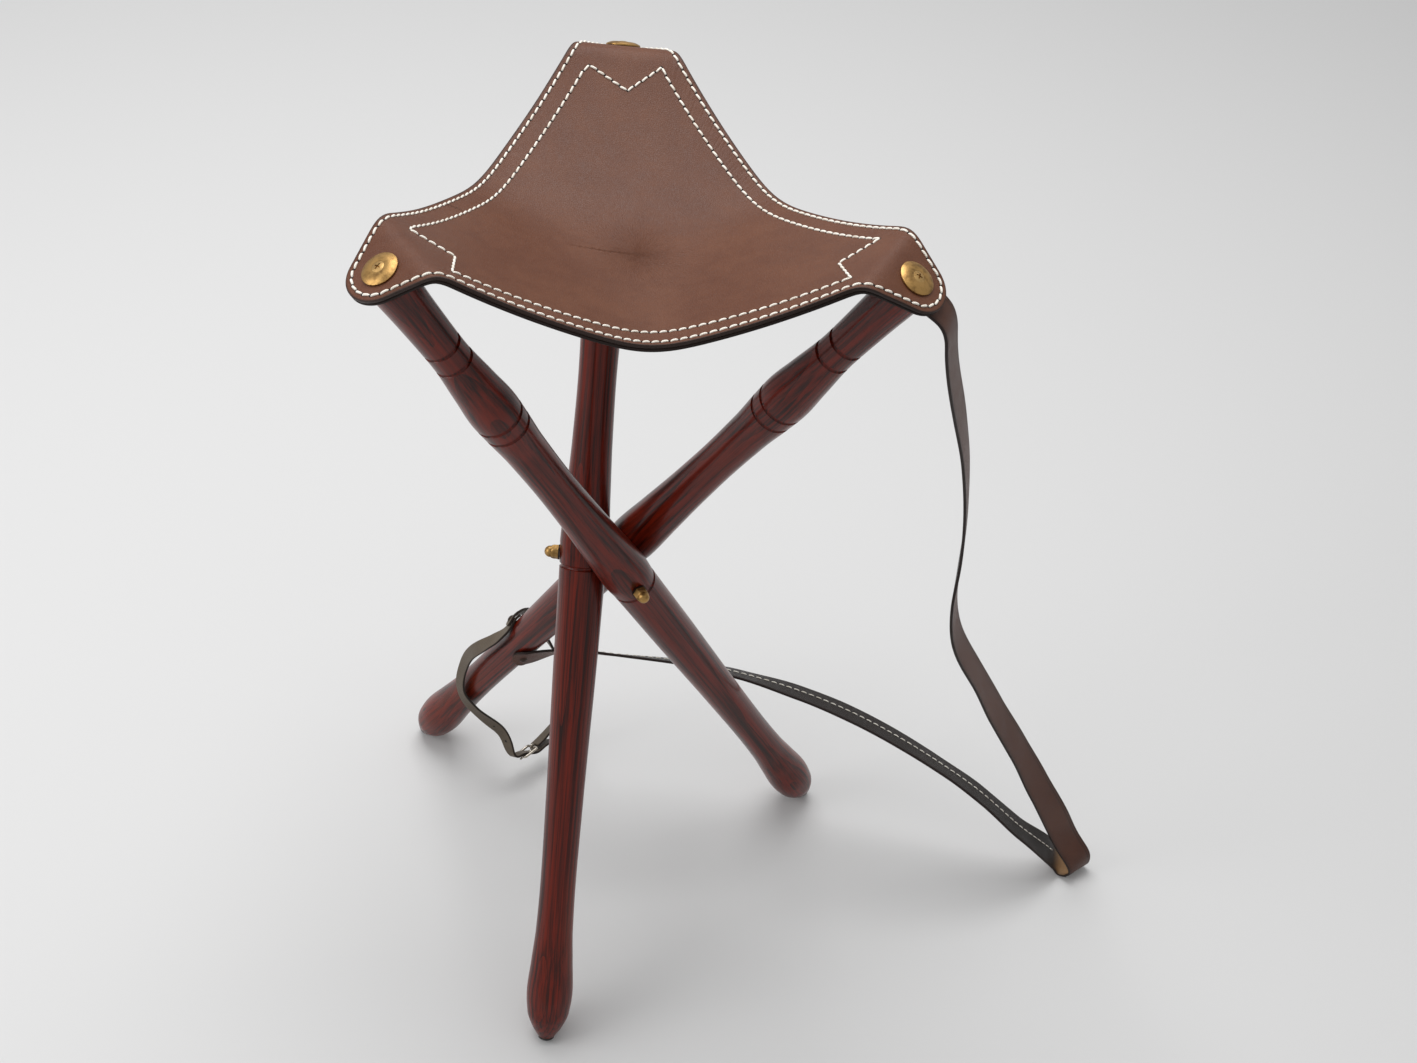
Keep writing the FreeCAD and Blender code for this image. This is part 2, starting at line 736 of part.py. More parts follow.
def strap_end_place():
    """Where the carrying strap's end is screwed to the right leg: +X points out of the leg."""
    turn = FreeCAD.Placement(Vector(0, 0, 0), FreeCAD.Rotation(Vector(0, 0, 1), strap_end_angle))
    start = FreeCAD.Placement(Vector(stud_offset, 0, strap_end_station), FreeCAD.Rotation())
    return leg_place("right").multiply(start).multiply(turn)


def closing_screw_place():
    """Where both halves of the closing strap are screwed to the right leg: +X points out of the leg."""
    turn = FreeCAD.Placement(Vector(0, 0, 0), FreeCAD.Rotation(Vector(0, 0, 1), closing_screw_angle))
    start = FreeCAD.Placement(Vector(stud_offset, 0, closing_screw_station), FreeCAD.Rotation())
    return leg_place("right").multiply(start).multiply(turn)


def strap_screw_hole():
    """The hole that a strap's screw goes through, along +X."""
    start = Vector(shin_radius - strap_screw_length, 0, 0)
    return Part.makeCylinder(strap_screw_radius, strap_screw_length + 12, start, Vector(1, 0, 0))


def make_strap_screw(strap_stack):
    """A small screw with a low round head, through a stack of straps, along +X."""
    head_bottom = shin_radius + strap_stack
    start = Vector(shin_radius + 1.0 - strap_screw_length, 0, 0)
    shank = Part.makeCylinder(strap_screw_radius, head_bottom - start.x, start, Vector(1, 0, 0))
    ball_radius = (strap_screw_head_radius ** 2 + strap_screw_head_height ** 2) / (2 * strap_screw_head_height)
    centre = Vector(head_bottom + strap_screw_head_height - ball_radius, 0, 0)
    head_block = Part.makeCylinder(strap_screw_head_radius + 1, 5, Vector(head_bottom, 0, 0), Vector(1, 0, 0))
    head = Part.makeSphere(ball_radius, centre).common(head_block)
    slot = Part.makeBox(2, 12, 0.8, Vector(head_bottom + strap_screw_head_height - 0.6, -6, -0.4))
    return shank.fuse(head).removeSplitter().cut(slot)


def buckle_place():
    """The buckle's own axes: +X along the strap towards its tip, +Y across it, +Z out of its face."""
    along = Vector(*buckle_along).normalize()
    out = Vector(*buckle_out)
    out = (out - along * out.dot(along)).normalize()
    across = out.cross(along)
    middle = Vector(*hung([(buckle_middle, buckle_out)])[0][0])
    return FreeCAD.Placement(middle, FreeCAD.Rotation(along, across, out, "XYZ"))


def at_buckle(x, y, z):
    """A point in the buckle's own axes."""
    point = buckle_place().multVec(Vector(x, y, z))
    return (point.x, point.y, point.z)


def buckle_look(x, y, z):
    """A direction in the buckle's own axes."""
    look = buckle_place().Rotation.multVec(Vector(x, y, z))
    return (look.x, look.y, look.z)


def make_closing_strap():
    """The holed half of the closing strap, from the right leg down and through the buckle."""
    upper = shin_radius + closing_thickness / 2 + closing_leg_gap
    bar = buckle_length / 2
    under = -(buckle_wire + closing_thickness / 2 + 0.3)
    over = buckle_wire + closing_thickness * 1.5 + 0.6
    slope = buckle_look(-0.35, 0, 0.94)
    spare_holes = hung([((-100, 84, 60), (-0.10, -0.98, -0.10)), ((-88, 82, 42), (-0.28, -0.92, -0.28))])
    flat = buckle_look(0, 0, 1)
    stops = [
        round_closing_screw(upper, -19, 5.7),
        round_closing_screw(upper, -9.5, 2.8),
        round_closing_screw(upper, 0, 0),
        round_closing_screw(upper, 9.5, -2.8),
        (on_right_leg(-10.5, 15.6, -196.5), right_leg_look(-0.35, 0.93, 0.1)),
        (on_right_leg(-17, 17.5, -211), right_leg_look(-0.6, 0.78, 0)),
        (on_right_leg(-19.8, 21.5, -233), right_leg_look(-0.83, 0.54, -0.14)),
    ]
    stops += hung([
        ((-129, 84, 135), (-0.82, -0.55, 0.10)),
        ((-131.3, 80.8, 111.5), (-0.75, -0.62, 0.10)),
        ((-120.3, 79.8, 86.5), (-0.40, -0.90, -0.15)),
    ])
    stops += [
        spare_holes[0],
        spare_holes[1],
        (at_buckle(-bar - 5, 0, under - 1.0), (-0.04, -0.69, -0.72)),
        (at_buckle(-bar, 0, under), flat),
        (at_buckle(0, 0, (under + over) / 2), slope),
        (at_buckle(bar, 0, over), flat),
        (at_buckle(bar + 9, 0, over), flat),
        (at_buckle(bar + 20, 0, over + 1), buckle_look(-0.1, 0, 1)),
    ]
    strap = strap_solid(stops, closing_width, closing_thickness)
    for point, look in spare_holes:
        start = Vector(*point) - Vector(*look) * closing_thickness
        strap = strap.cut(Part.makeCylinder(hole_radius, 2 * closing_thickness, start, Vector(*look)))
    prong = make_prong_body(prong_radius + 0.3)
    strap = strap.cut(moved(prong, buckle_place()))
    return strap.cut(moved(strap_screw_hole(), closing_screw_place()))


def round_closing_screw(radius, degrees, rise):
    """A point where a strap lies round the leg near the closing screw, and the way its outer face looks."""
    angle = math.radians(closing_screw_angle + degrees)
    point = on_right_leg(radius * math.cos(angle), radius * math.sin(angle), closing_screw_station + rise)
    return point, right_leg_look(math.cos(angle), math.sin(angle), 0)


def make_closing_strap_buckle_end():
    """The half of the closing strap that is folded round the buckle's bar."""
    upper = shin_radius + closing_leg_gap + closing_thickness * 1.5 + closing_stack_gap
    bar = buckle_length / 2
    fold = buckle_wire + 0.1 + closing_thickness
    stops = [
        round_closing_screw(upper, 20, 0),
        round_closing_screw(upper, 10, 0),
        round_closing_screw(upper, 0, 0),
        round_closing_screw(upper, -10, 0),
        round_closing_screw(upper, -20, -0.5),
        (on_right_leg(16, 17.5, -194), right_leg_look(0.5, 0.85, 0)),
        (on_right_leg(28, 8, -205), right_leg_look(0.85, 0.5, 0.1)),
    ]
    stops += hung([
        ((-62, 104, 170), (0.75, 0.65, 0.10)),
        ((-45, 108, 130), (0.90, 0.40, 0.10)),
        ((-36, 108, 95), (0.95, 0.10, 0.00)),
        ((-36, 107, 70), (0.93, 0.05, -0.20)),
        ((-43, 107, 48), (0.85, 0.10, -0.45)),
        ((-50.5, 105.5, 35), (0.70, -0.05, -0.70)),
    ])
    stops += [
        (at_buckle(bar + 14, 0, -1.2), buckle_look(0.15, 0, 1)),
        (at_buckle(bar + fold - 0.4, 0, 0), buckle_look(0, 0, 1)),
    ]
    strap = strap_solid(stops, closing_width, closing_thickness)
    bar_start = Vector(bar, -closing_width / 2, 0)
    loop = Part.makeCylinder(fold, closing_width, bar_start, Vector(0, 1, 0))
    loop = loop.cut(Part.makeCylinder(buckle_wire + 0.1, closing_width, bar_start, Vector(0, 1, 0)))
    strap = strap.fuse(moved(loop, buckle_place())).removeSplitter()
    slot = Part.makeBox(3 * fold, 2 * prong_radius + 1.2, 4 * fold)
    slot.translate(Vector(bar - fold - 1, -prong_radius - 0.6, -2 * fold))
    strap = strap.cut(moved(slot, buckle_place()))
    return strap.cut(moved(strap_screw_hole(), closing_screw_place()))


def make_buckle_frame():
    """A rectangle of round wire with rounded corners."""
    half_length = buckle_length / 2
    half_width = buckle_inside / 2 + buckle_wire
    bend = buckle_bend
    corner_cut = bend * (1 - math.sqrt(0.5))
    points = []
    for x, y in ((1, 1), (-1, 1), (-1, -1), (1, -1)):
        first = Vector(x * half_length, y * (half_width - bend), 0)
        second = Vector(x * (half_length - corner_cut), y * (half_width - corner_cut), 0)
        third = Vector(x * (half_length - bend), y * half_width, 0)
        points.append([first, second, third] if x * y > 0 else [third, second, first])
    edges = []
    for turn, (first, second, third) in enumerate(points):
        edges.append(Part.Arc(first, second, third).toShape())
        edges.append(Part.makeLine(third, points[(turn + 1) % 4][0]))
    route = Part.Wire(edges)
    start = edges[1].valueAt(edges[1].FirstParameter)
    circle = Part.Wire([Part.makeCircle(buckle_wire, start, edges[1].tangentAt(edges[1].FirstParameter))])
    return route.makePipeShell([circle], True, False)


def make_prong_body(radius):
    """The straight wire of the buckle's prong, in the buckle's own axes."""
    start = Vector(buckle_length / 2, 0, buckle_wire + prong_radius + 0.1)
    end = Vector(-buckle_length / 2 - 1.5, 0, buckle_wire + prong_radius + 0.1)
    return Part.makeCylinder(radius, (end - start).Length, start, end - start)


def make_buckle_prong():
    """The prong: a straight wire with a ring round the buckle's bar."""
    ring_radius = buckle_wire + prong_radius + 0.1
    ring = Part.makeTorus(ring_radius, prong_radius, Vector(buckle_length / 2, 0, 0), Vector(0, 1, 0))
    body = make_prong_body(prong_radius)
    tip = Part.makeSphere(prong_radius, Vector(-buckle_length / 2 - 1.5, 0, ring_radius))
    return ring.fuse(body).fuse(tip).removeSplitter()


def main():
    """Make every node and write it."""
    leg = make_leg()
    corner_washer = make_corner_washer()
    corner_screw = make_corner_screw()
    pivot_washer = make_pivot_washer()
    dome_nut = make_dome_nut()
    for corner in arm_azimuth:
        at_leg = leg_place(corner)
        room = strap_thickness + 2 * strap_sheet_gap if corner == "right" else 0
        height = spacer_height - room
        wood = moved(leg, at_leg)
        if corner == "right":
            wood = wood.cut(moved(strap_screw_hole(), strap_end_place()))
            wood = wood.cut(moved(strap_screw_hole(), closing_screw_place()))
        save(wood, "leg_" + corner)
        save(make_foot_pad(corner), "foot_pad_" + corner)
        save(moved(make_corner_spacer(height), at_leg), "corner_spacer_" + corner)
        save(moved(corner_washer, at_leg), "corner_washer_" + corner)
        save(moved(corner_screw, at_leg), "corner_screw_" + corner)
        save(moved(pivot_washer, arm_place(corner)), "pivot_washer_" + corner)
        save(moved(dome_nut, arm_place(corner)), "dome_nut_" + corner)
    save(make_centre_bolt(), "centre_bolt")
    save(leather_layer(-layer_gap / 2 - lining_thickness, -layer_gap / 2), "seat_lining")
    save(leather_layer(layer_gap / 2, layer_gap / 2 + leather_thickness), "seat_leather")
    save(make_carry_strap(), "carry_strap")
    save(moved(make_strap_screw(strap_thickness + strap_leg_gap + 0.1), strap_end_place()), "carry_strap_screw")
    save(make_closing_strap(), "closing_strap")
    save(make_closing_strap_buckle_end(), "closing_strap_buckle_end")
    closing_stack = 2 * closing_thickness + closing_leg_gap + closing_stack_gap + 0.1
    save(moved(make_strap_screw(closing_stack), closing_screw_place()), "closing_strap_screw")
    save(moved(make_buckle_frame(), buckle_place()), "buckle_frame")
    save(moved(make_buckle_prong(), buckle_place()), "buckle_prong")


main()
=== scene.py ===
"""A walking stick seat: turned wooden legs, a stitched leather sling, brass fittings and two straps.

Lengths in the classes are millimetres, counted from the upright line through the middle of the
centre bolt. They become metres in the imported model's frame when a mesh is made.
"""
import logging
import math
from dataclasses import dataclass, field
from enum import Enum

import bpy
import numpy as np
from mathutils import Matrix, Vector


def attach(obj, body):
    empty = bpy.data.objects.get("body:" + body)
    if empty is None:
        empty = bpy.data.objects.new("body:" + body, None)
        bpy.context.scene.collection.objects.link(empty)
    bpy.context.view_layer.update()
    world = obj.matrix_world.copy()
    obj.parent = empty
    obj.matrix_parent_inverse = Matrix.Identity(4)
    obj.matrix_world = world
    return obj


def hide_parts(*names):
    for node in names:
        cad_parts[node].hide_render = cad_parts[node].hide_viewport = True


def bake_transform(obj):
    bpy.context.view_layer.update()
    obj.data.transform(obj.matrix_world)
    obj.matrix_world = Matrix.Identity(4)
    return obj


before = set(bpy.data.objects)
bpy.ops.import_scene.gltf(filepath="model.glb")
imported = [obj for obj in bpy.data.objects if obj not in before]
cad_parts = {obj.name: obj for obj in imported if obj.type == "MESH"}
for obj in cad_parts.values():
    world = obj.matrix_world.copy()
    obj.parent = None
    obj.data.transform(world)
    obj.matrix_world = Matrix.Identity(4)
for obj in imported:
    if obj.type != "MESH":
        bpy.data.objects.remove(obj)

log = logging.getLogger("stick_seat")

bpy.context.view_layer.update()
MILLIMETRE = 0.001
ORIGIN_SHIFT = np.array([-12.0, -3.0, 0.0])
THREAD_TURNS = 0.55
Socket = bpy.types.NodeSocket
Feed = Socket | float | tuple


class Corner(Enum):
    """A corner of the seat with its leg: the body's name and the bearing of its arm of the bolt."""

    LEFT = ("left", -60.0)
    BACK = ("back", 180.0)
    RIGHT = ("right", 60.0)

    @property
    def body(self) -> str:
        """The name of the moving body that the leg belongs to."""
        return self.value[0]

    @property
    def bearing(self) -> float:
        """The bearing of the leg's arm of the bolt, in radians."""
        return math.radians(self.value[1])


@dataclass(frozen=True)
class Stance:
    """How the three legs stand, and the axes of each of them."""

    tilt: float = math.radians(30.3)
    stud_offset: float = 24.5
    pivot_height: float = 361.78

    def axes(self, corner: Corner) -> np.ndarray:
        """The leg's own axes: out along its arm, over its upper side, and up its length.

        Args:
            corner: the corner that the leg belongs to.

        Returns:
            A 3 by 3 array with one axis in each row.
        """
        out = np.array([math.cos(corner.bearing), math.sin(corner.bearing), 0.0])
        along = np.array(
            [math.sin(self.tilt) * out[1], -math.sin(self.tilt) * out[0], math.cos(self.tilt)]
        )
        return np.array([out, np.cross(along, out), along])

    def place(self, corner: Corner, local: np.ndarray) -> np.ndarray:
        """Carry points from a leg's own axes to the stool: the middle of the bolt plus their sum.

        Args:
            corner: the corner that the leg belongs to.
            local: points with x out along the arm, y over the leg and z up its length.

        Returns:
            The points about the bolt's upright line, with the floor at zero.
        """
        return local @ self.axes(corner) + np.array([0.0, 0.0, self.pivot_height])


STANCE = Stance()


# Numbers on curves and grids


def unit(vectors: np.ndarray) -> np.ndarray:
    """Vectors divided by their lengths."""
    return vectors / np.linalg.norm(vectors, axis=-1, keepdims=True)


def smooth_through(x: np.ndarray, knots: np.ndarray, values: np.ndarray) -> np.ndarray:
    """A smooth curve through knots that never overshoots them.

    The slope at a knot is the harmonic mean of the slopes beside it, or zero where they differ in
    sign, and each span is the cubic with those slopes at its ends.

    Args:
        x: where the curve is wanted.
        knots: rising places.
        values: the curve's values there.

    Returns:
        The curve's values at x.
    """
    spans = np.diff(knots)
    slopes = np.diff(values) / spans
    before, after = slopes[:-1], slopes[1:]
    product = before * after
    inner = np.where(product > 0, 2 * product / np.where(before + after == 0, 1, before + after), 0)
    tangents = np.concatenate([[slopes[0]], inner, [slopes[-1]]])
    index = np.clip(np.searchsorted(knots, x, side="right") - 1, 0, len(spans) - 1)
    step = spans[index]
    t = (x - knots[index]) / step
    start = (1 + 2 * t) * (1 - t) ** 2 * values[index] + t * (1 - t) ** 2 * step * tangents[index]
    end = t * t * (3 - 2 * t) * values[index + 1] + t * t * (t - 1) * step * tangents[index + 1]
    return start + end


def spline_through(points: np.ndarray) -> tuple[np.ndarray, np.ndarray]:
    """The natural cubic spline through points, with the straight distances between them as its parameter.

    Args:
        points: the points that the spline goes through.

    Returns:
        The parameter at each point, and the spline's second derivatives there.
    """
    marks = np.concatenate([[0.0], np.cumsum(np.linalg.norm(np.diff(points, axis=0), axis=1))])
    h = np.diff(marks)
    count = len(points)
    matrix = np.eye(count)
    right = np.zeros_like(points)
    rows = np.arange(1, count - 1)
    matrix[rows, rows - 1] = h[:-1]
    matrix[rows, rows] = 2 * (h[:-1] + h[1:])
    matrix[rows, rows + 1] = h[1:]
    rise = np.diff(points, axis=0) / h[:, None]
    right[1:-1] = 6 * (rise[1:] - rise[:-1])
    return marks, np.linalg.solve(matrix, right)


def spline_at(
    values: np.ndarray, points: np.ndarray, marks: np.ndarray, bends: np.ndarray
) -> tuple[np.ndarray, np.ndarray]:
    """Points and directions of a cubic spline.

    Args:
        values: parameters along the spline.
        points: the points that it goes through.
        marks: the parameter at each of them.
        bends: the second derivatives there.

    Returns:
        The points and the unit directions at those parameters.
    """
    index = np.clip(np.searchsorted(marks, values, side="right") - 1, 0, len(marks) - 2)
    h = (marks[index + 1] - marks[index])[:, None]
    b = (values - marks[index])[:, None] / h
    a = 1 - b
    low, high = points[index], points[index + 1]
    place = a * low + b * high + ((a**3 - a) * bends[index] + (b**3 - b) * bends[index + 1]) * h**2 / 6
    heading = (high - low) / h + ((3 * b**2 - 1) * bends[index + 1] - (3 * a**2 - 1) * bends[index]) * h / 6
    return place, unit(heading)


def evenly(route: np.ndarray, count: int) -> np.ndarray:
    """Points spaced evenly along a broken line.

    Args:
        route: the line's points.
        count: how many points are wanted, with both ends.

    Returns:
        The points.
    """
    lengths = np.concatenate([[0.0], np.cumsum(np.linalg.norm(np.diff(route, axis=0), axis=1))])
    wanted = np.linspace(0.0, lengths[-1], count)
    return np.stack([np.interp(wanted, lengths, route[:, axis]) for axis in range(route.shape[1])], axis=1)


# Meshes


def grid_faces(rows: int, columns: int, closed: bool = False, start: int = 0) -> np.ndarray:
    """The four-sided faces of a grid of points.

    Args:
        rows: points along the grid.
        columns: points across the grid.
        closed: whether the last column joins the first.
        start: the number of the grid's first point.

    Returns:
        One row of four point numbers for each face.
    """
    across = columns if closed else columns - 1
    row, column = np.meshgrid(np.arange(rows - 1), np.arange(across), indexing="ij")
    following = (column + 1) % columns
    corners = [row * columns + column, row * columns + following]
    corners += [(row + 1) * columns + following, (row + 1) * columns + column]
    return np.stack([corner.ravel() for corner in corners], axis=1) + start


def tube_faces(count: int, steps: int, sides: int) -> list:
    """The outward faces of many short tubes with closed ends, whose points follow one another.

    Args:
        count: how many tubes there are.
        steps: rings of points along each of them.
        sides: points in each ring.

    Returns:
        Lists of point numbers.
    """
    offsets = (np.arange(count) * steps * sides)[:, None, None]
    walls = grid_faces(steps, sides, closed=True)[None, :, ::-1] + offsets
    cap = np.arange(sides)[None, :]
    far_cap = cap[:, ::-1] + (steps - 1) * sides
    return walls.reshape(-1, 4).tolist() + (cap + offsets[:, 0]).tolist() + (far_cap + offsets[:, 0]).tolist()


def circle_points(first: np.ndarray, second: np.ndarray, sides: int) -> tuple[np.ndarray, np.ndarray]:
    """Directions round a circle in the plane of two directions.

    Args:
        first: directions at the start of each circle.
        second: directions a quarter turn further.
        sides: points in each circle.

    Returns:
        The angles, and the first direction times their cosine plus the second times their sine.
    """
    angles = np.linspace(0.0, 2 * math.pi, sides, endpoint=False)
    turned = first[..., None, :] * np.cos(angles)[:, None] + second[..., None, :] * np.sin(angles)[:, None]
    return angles, turned


def new_piece(
    name: str,
    points: np.ndarray,
    faces: list,
    facts: dict[str, np.ndarray] | None = None,
    sharp: float | None = 40.0,
) -> bpy.types.Object:
    """Make a finished object out of points in millimetres about the bolt's upright line.

    Every piece also keeps its resting place as the attribute "place", for its material's pattern.

    Args:
        name: the object's name.
        points: the points.
        faces: lists of point numbers, outward side to the left hand going round.
        facts: further vectors for each point, by attribute name.
        sharp: the angle in degrees past which an edge shows as an edge, or None for all smooth.

    Returns:
        The object.
    """
    placed = (points.reshape(-1, 3) + ORIGIN_SHIFT) * MILLIMETRE
    mesh = bpy.data.meshes.new(name)
    mesh.from_pydata(placed.tolist(), [], [list(face) for face in faces])
    mesh.polygons.foreach_set("use_smooth", np.ones(len(mesh.polygons), dtype=bool))
    for label, vectors in {"place": placed, **(facts or {})}.items():
        layer = mesh.attributes.new(label, "FLOAT_VECTOR", "POINT")
        layer.data.foreach_set("vector", vectors.reshape(-1).astype(np.float32))
    mesh.update()
    if sharp is not None:
        mesh.set_sharp_from_angle(angle=math.radians(sharp))
    piece = bpy.data.objects.new(name, mesh)
    bpy.context.scene.collection.objects.link(piece)
    return piece


def dress(piece: bpy.types.Object, material: bpy.types.Material) -> None:
    """Give a new piece its material."""
    piece.data.materials.append(material)


def dress_node(name: str, material: bpy.types.Material) -> None:
    """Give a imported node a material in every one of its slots."""
    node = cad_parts[name]
    if not node.data.materials:
        node.data.materials.append(material)
    for place in node.material_slots:
        place.material = material


# Materials


class NodeKit:
    """Adds nodes to a tree, with their inputs given as values or as other nodes' outputs."""

    def __init__(self, tree: bpy.types.NodeTree) -> None:
        """Keep the tree that nodes are added to."""
        self.tree = tree

    def add(self, kind: str, inputs: dict | None = None, **settings) -> bpy.types.Node:
        """Add a node.

        Args:
            kind: Blender's name of the node type.
            inputs: values or output sockets by input name or number.
            settings: the node's own properties.

        Returns:
            The node.
        """
        node = self.tree.nodes.new(kind)
        for label, value in settings.items():
            setattr(node, label, value)
        self.feed(node, inputs or {})
        return node

    def feed(self, node: bpy.types.Node, inputs: dict) -> None:
        """Give a node's inputs their values or link them to other nodes' outputs."""
        for label, value in inputs.items():
            if isinstance(value, Socket):
                self.tree.links.new(value, node.inputs[label])
            else:
                node.inputs[label].default_value = value

    def group(self, tree: bpy.types.NodeTree, inputs: dict) -> bpy.types.Node:
        """Add a node group and then its inputs, which it has only once its tree is set."""
        node = self.add("ShaderNodeGroup", node_tree=tree)
        self.feed(node, inputs)
        return node

    def math(self, operation: str, first: Feed, second: Feed = 0.0) -> Socket:
        """The result of a sum on two numbers."""
        return self.add("ShaderNodeMath", {0: first, 1: second}, operation=operation).outputs[0]

    def ramp(self, value: Feed, low: float, high: float, to_low: float = 0.0, to_high: float = 1.0) -> Socket:
        """A number carried smoothly from one range to another."""
        node = self.add(
            "ShaderNodeMapRange",
            {"Value": value, "From Min": low, "From Max": high, "To Min": to_low, "To Max": to_high},
            interpolation_type="SMOOTHSTEP",
        )
        return node.outputs["Result"]

    def mix(self, share: Feed, first: Feed, second: Feed, blend: str = "MIX") -> Socket:
        """Two colours mixed by a share. The node has its number sockets first, then its colour sockets."""
        node = self.add("ShaderNodeMix", data_type="RGBA", blend_type=blend, clamp_factor=True)
        self.feed(node, {0: share, 6: first, 7: second})
        return node.outputs[2]

    def noise(self, vector: Feed, scale: float, detail: float = 2.0, roughness: float = 0.5) -> Socket:
        """A cloud pattern's value."""
        inputs = {"Vector": vector, "Scale": scale, "Detail": detail, "Roughness": roughness}
        return self.add("ShaderNodeTexNoise", inputs).outputs["Fac"]

    def stretched(self, vector: Feed, scale: tuple[float, float, float]) -> Socket:
        """A vector with its parts multiplied."""
        node = self.add("ShaderNodeVectorMath", {0: vector, 1: scale}, operation="MULTIPLY")
        return node.outputs["Vector"]

    def attribute(self, name: str) -> Socket:
        """A vector that the mesh keeps under a name."""
        return self.add("ShaderNodeAttribute", attribute_name=name).outputs["Vector"]

    def parts(self, vector: Feed) -> bpy.types.NodeOutputs:
        """The X, Y and Z of a vector."""
        return self.add("ShaderNodeSeparateXYZ", {"Vector": vector}).outputs

    def link(self, source: Socket, target: Socket) -> None:
        """Join an output to an input."""
        self.tree.links.new(source, target)


def colour(red: float, green: float, blue: float) -> tuple[float, float, float, float]:
    """A screen colour from 0 to 255 as linear light."""

    def linear(value: float) -> float:
        """One channel as linear light."""
        share = value / 255
        return share / 12.92 if share <= 0.04045 else ((share + 0.055) / 1.055) ** 2.4

    return (linear(red), linear(green), linear(blue), 1.0)


def new_group(
    name: str, inputs: dict, outputs: dict
) -> tuple[bpy.types.NodeTree, NodeKit, bpy.types.NodeOutputs, bpy.types.Node]:
    """Start a shader node group.

    Args:
        name: the group's name.
        inputs: the kind of socket and its value, by name.
        outputs: the kind of socket, by name.

    Returns:
        The group, a kit for it, its input sockets by name, and its output node.
    """
    group = bpy.data.node_groups.new(name, "ShaderNodeTree")
    for label, (kind, value) in inputs.items():
        socket = group.interface.new_socket(label, in_out="INPUT", socket_type=kind)
        if value is not None:
            socket.default_value = value
    for label, kind in outputs.items():
        group.interface.new_socket(label, in_out="OUTPUT", socket_type=kind)
    kit = NodeKit(group)
    source = kit.add("NodeGroupInput")
    return group, kit, source.outputs, kit.add("NodeGroupOutput")


def leather_group() -> bpy.types.NodeTree:
    """The grain, mottling and sheen that every leather here shares.

    Mottling is a wide cloud. Grain is the edges of small cells, pulled about by a cloud. The height
    is the grain with a finer cloud over it.

    Returns:
        The group.
    """
    group, kit, given, result = new_group(
        "leather_grain",
        {
            "Vector": ("NodeSocketVector", None),
            "Base": ("NodeSocketColor", (0.2, 0.1, 0.06, 1.0)),
            "Worn": ("NodeSocketColor", (0.3, 0.16, 0.1, 1.0)),
            "Cell Scale": ("NodeSocketFloat", 900.0),
            "Roughness": ("NodeSocketFloat", 0.45),
        },
        {"Color": "NodeSocketColor", "Roughness": "NodeSocketFloat", "Height": "NodeSocketFloat"},
    )
    vector = given["Vector"]
    wide = kit.noise(vector, 16.0, 4.0, 0.6)
    middle = kit.noise(vector, 95.0, 3.0, 0.6)
    fine = kit.noise(vector, 1700.0, 2.0, 0.6)
    pull = kit.add("ShaderNodeTexNoise", {"Vector": vector, "Scale": 260.0, "Detail": 2.0})
    reach = (0.0012, 0.0012, 0.0012)
    moved = kit.add(
        "ShaderNodeVectorMath", {0: pull.outputs["Color"], 1: reach, 2: vector}, operation="MULTIPLY_ADD"
    )
    cells = kit.add(
        "ShaderNodeTexVoronoi",
        {"Vector": moved.outputs["Vector"], "Scale": given["Cell Scale"]},
        feature="DISTANCE_TO_EDGE",
    )
    crease = kit.ramp(cells.outputs["Distance"], 0.0, 0.22)
    mottle = kit.math("ADD", kit.math("MULTIPLY", wide, 0.65), kit.math("MULTIPLY", middle, 0.35))
    share = kit.ramp(mottle, 0.26, 0.78)
    tone = kit.mix(share, given["Base"], given["Worn"])
    shade = kit.ramp(crease, 0.0, 1.0, 0.86, 1.0)
    grey = kit.add("ShaderNodeCombineColor", {"Red": shade, "Green": shade, "Blue": shade})
    toned = kit.mix(1.0, tone, grey.outputs["Color"], "MULTIPLY")
    uneven = kit.math("MULTIPLY", kit.math("SUBTRACT", middle, 0.5), 0.22)
    rough = kit.math("ADD", given["Roughness"], uneven)
    height = kit.math("ADD", kit.math("MULTIPLY", crease, 0.65), kit.math("MULTIPLY", fine, 0.35))
    kit.feed(result, {"Color": toned, "Roughness": rough, "Height": height})
    return group


def scratch_group() -> bpy.types.NodeTree:
    """Dulling and fine scratches for metals: one cloud stretched two ways, and a wide cloud of handling.

    Returns:
        The group.
    """
    group, kit, given, result = new_group(
        "handled_metal",
        {
            "Vector": ("NodeSocketVector", None),
            "Bright": ("NodeSocketColor", (0.8, 0.6, 0.25, 1.0)),
            "Dull": ("NodeSocketColor", (0.5, 0.35, 0.13, 1.0)),
            "Roughness": ("NodeSocketFloat", 0.2),
        },
        {"Color": "NodeSocketColor", "Roughness": "NodeSocketFloat", "Height": "NodeSocketFloat"},
    )
    vector = given["Vector"]
    handled = kit.noise(vector, 140.0, 4.0, 0.65)
    first = kit.noise(kit.stretched(vector, (4000.0, 300.0, 900.0)), 1.0, 2.0)
    second = kit.noise(kit.stretched(vector, (300.0, 3600.0, 1200.0)), 1.0, 2.0)
    lines = kit.math("MULTIPLY", first, second)
    tone = kit.mix(kit.ramp(handled, 0.42, 0.72), given["Bright"], given["Dull"])
    rough = kit.math("ADD", given["Roughness"], kit.math("MULTIPLY", handled, 0.16))
    rough = kit.math("ADD", rough, kit.math("MULTIPLY", lines, 0.2))
    kit.feed(result, {"Color": tone, "Roughness": rough, "Height": lines})
    return group


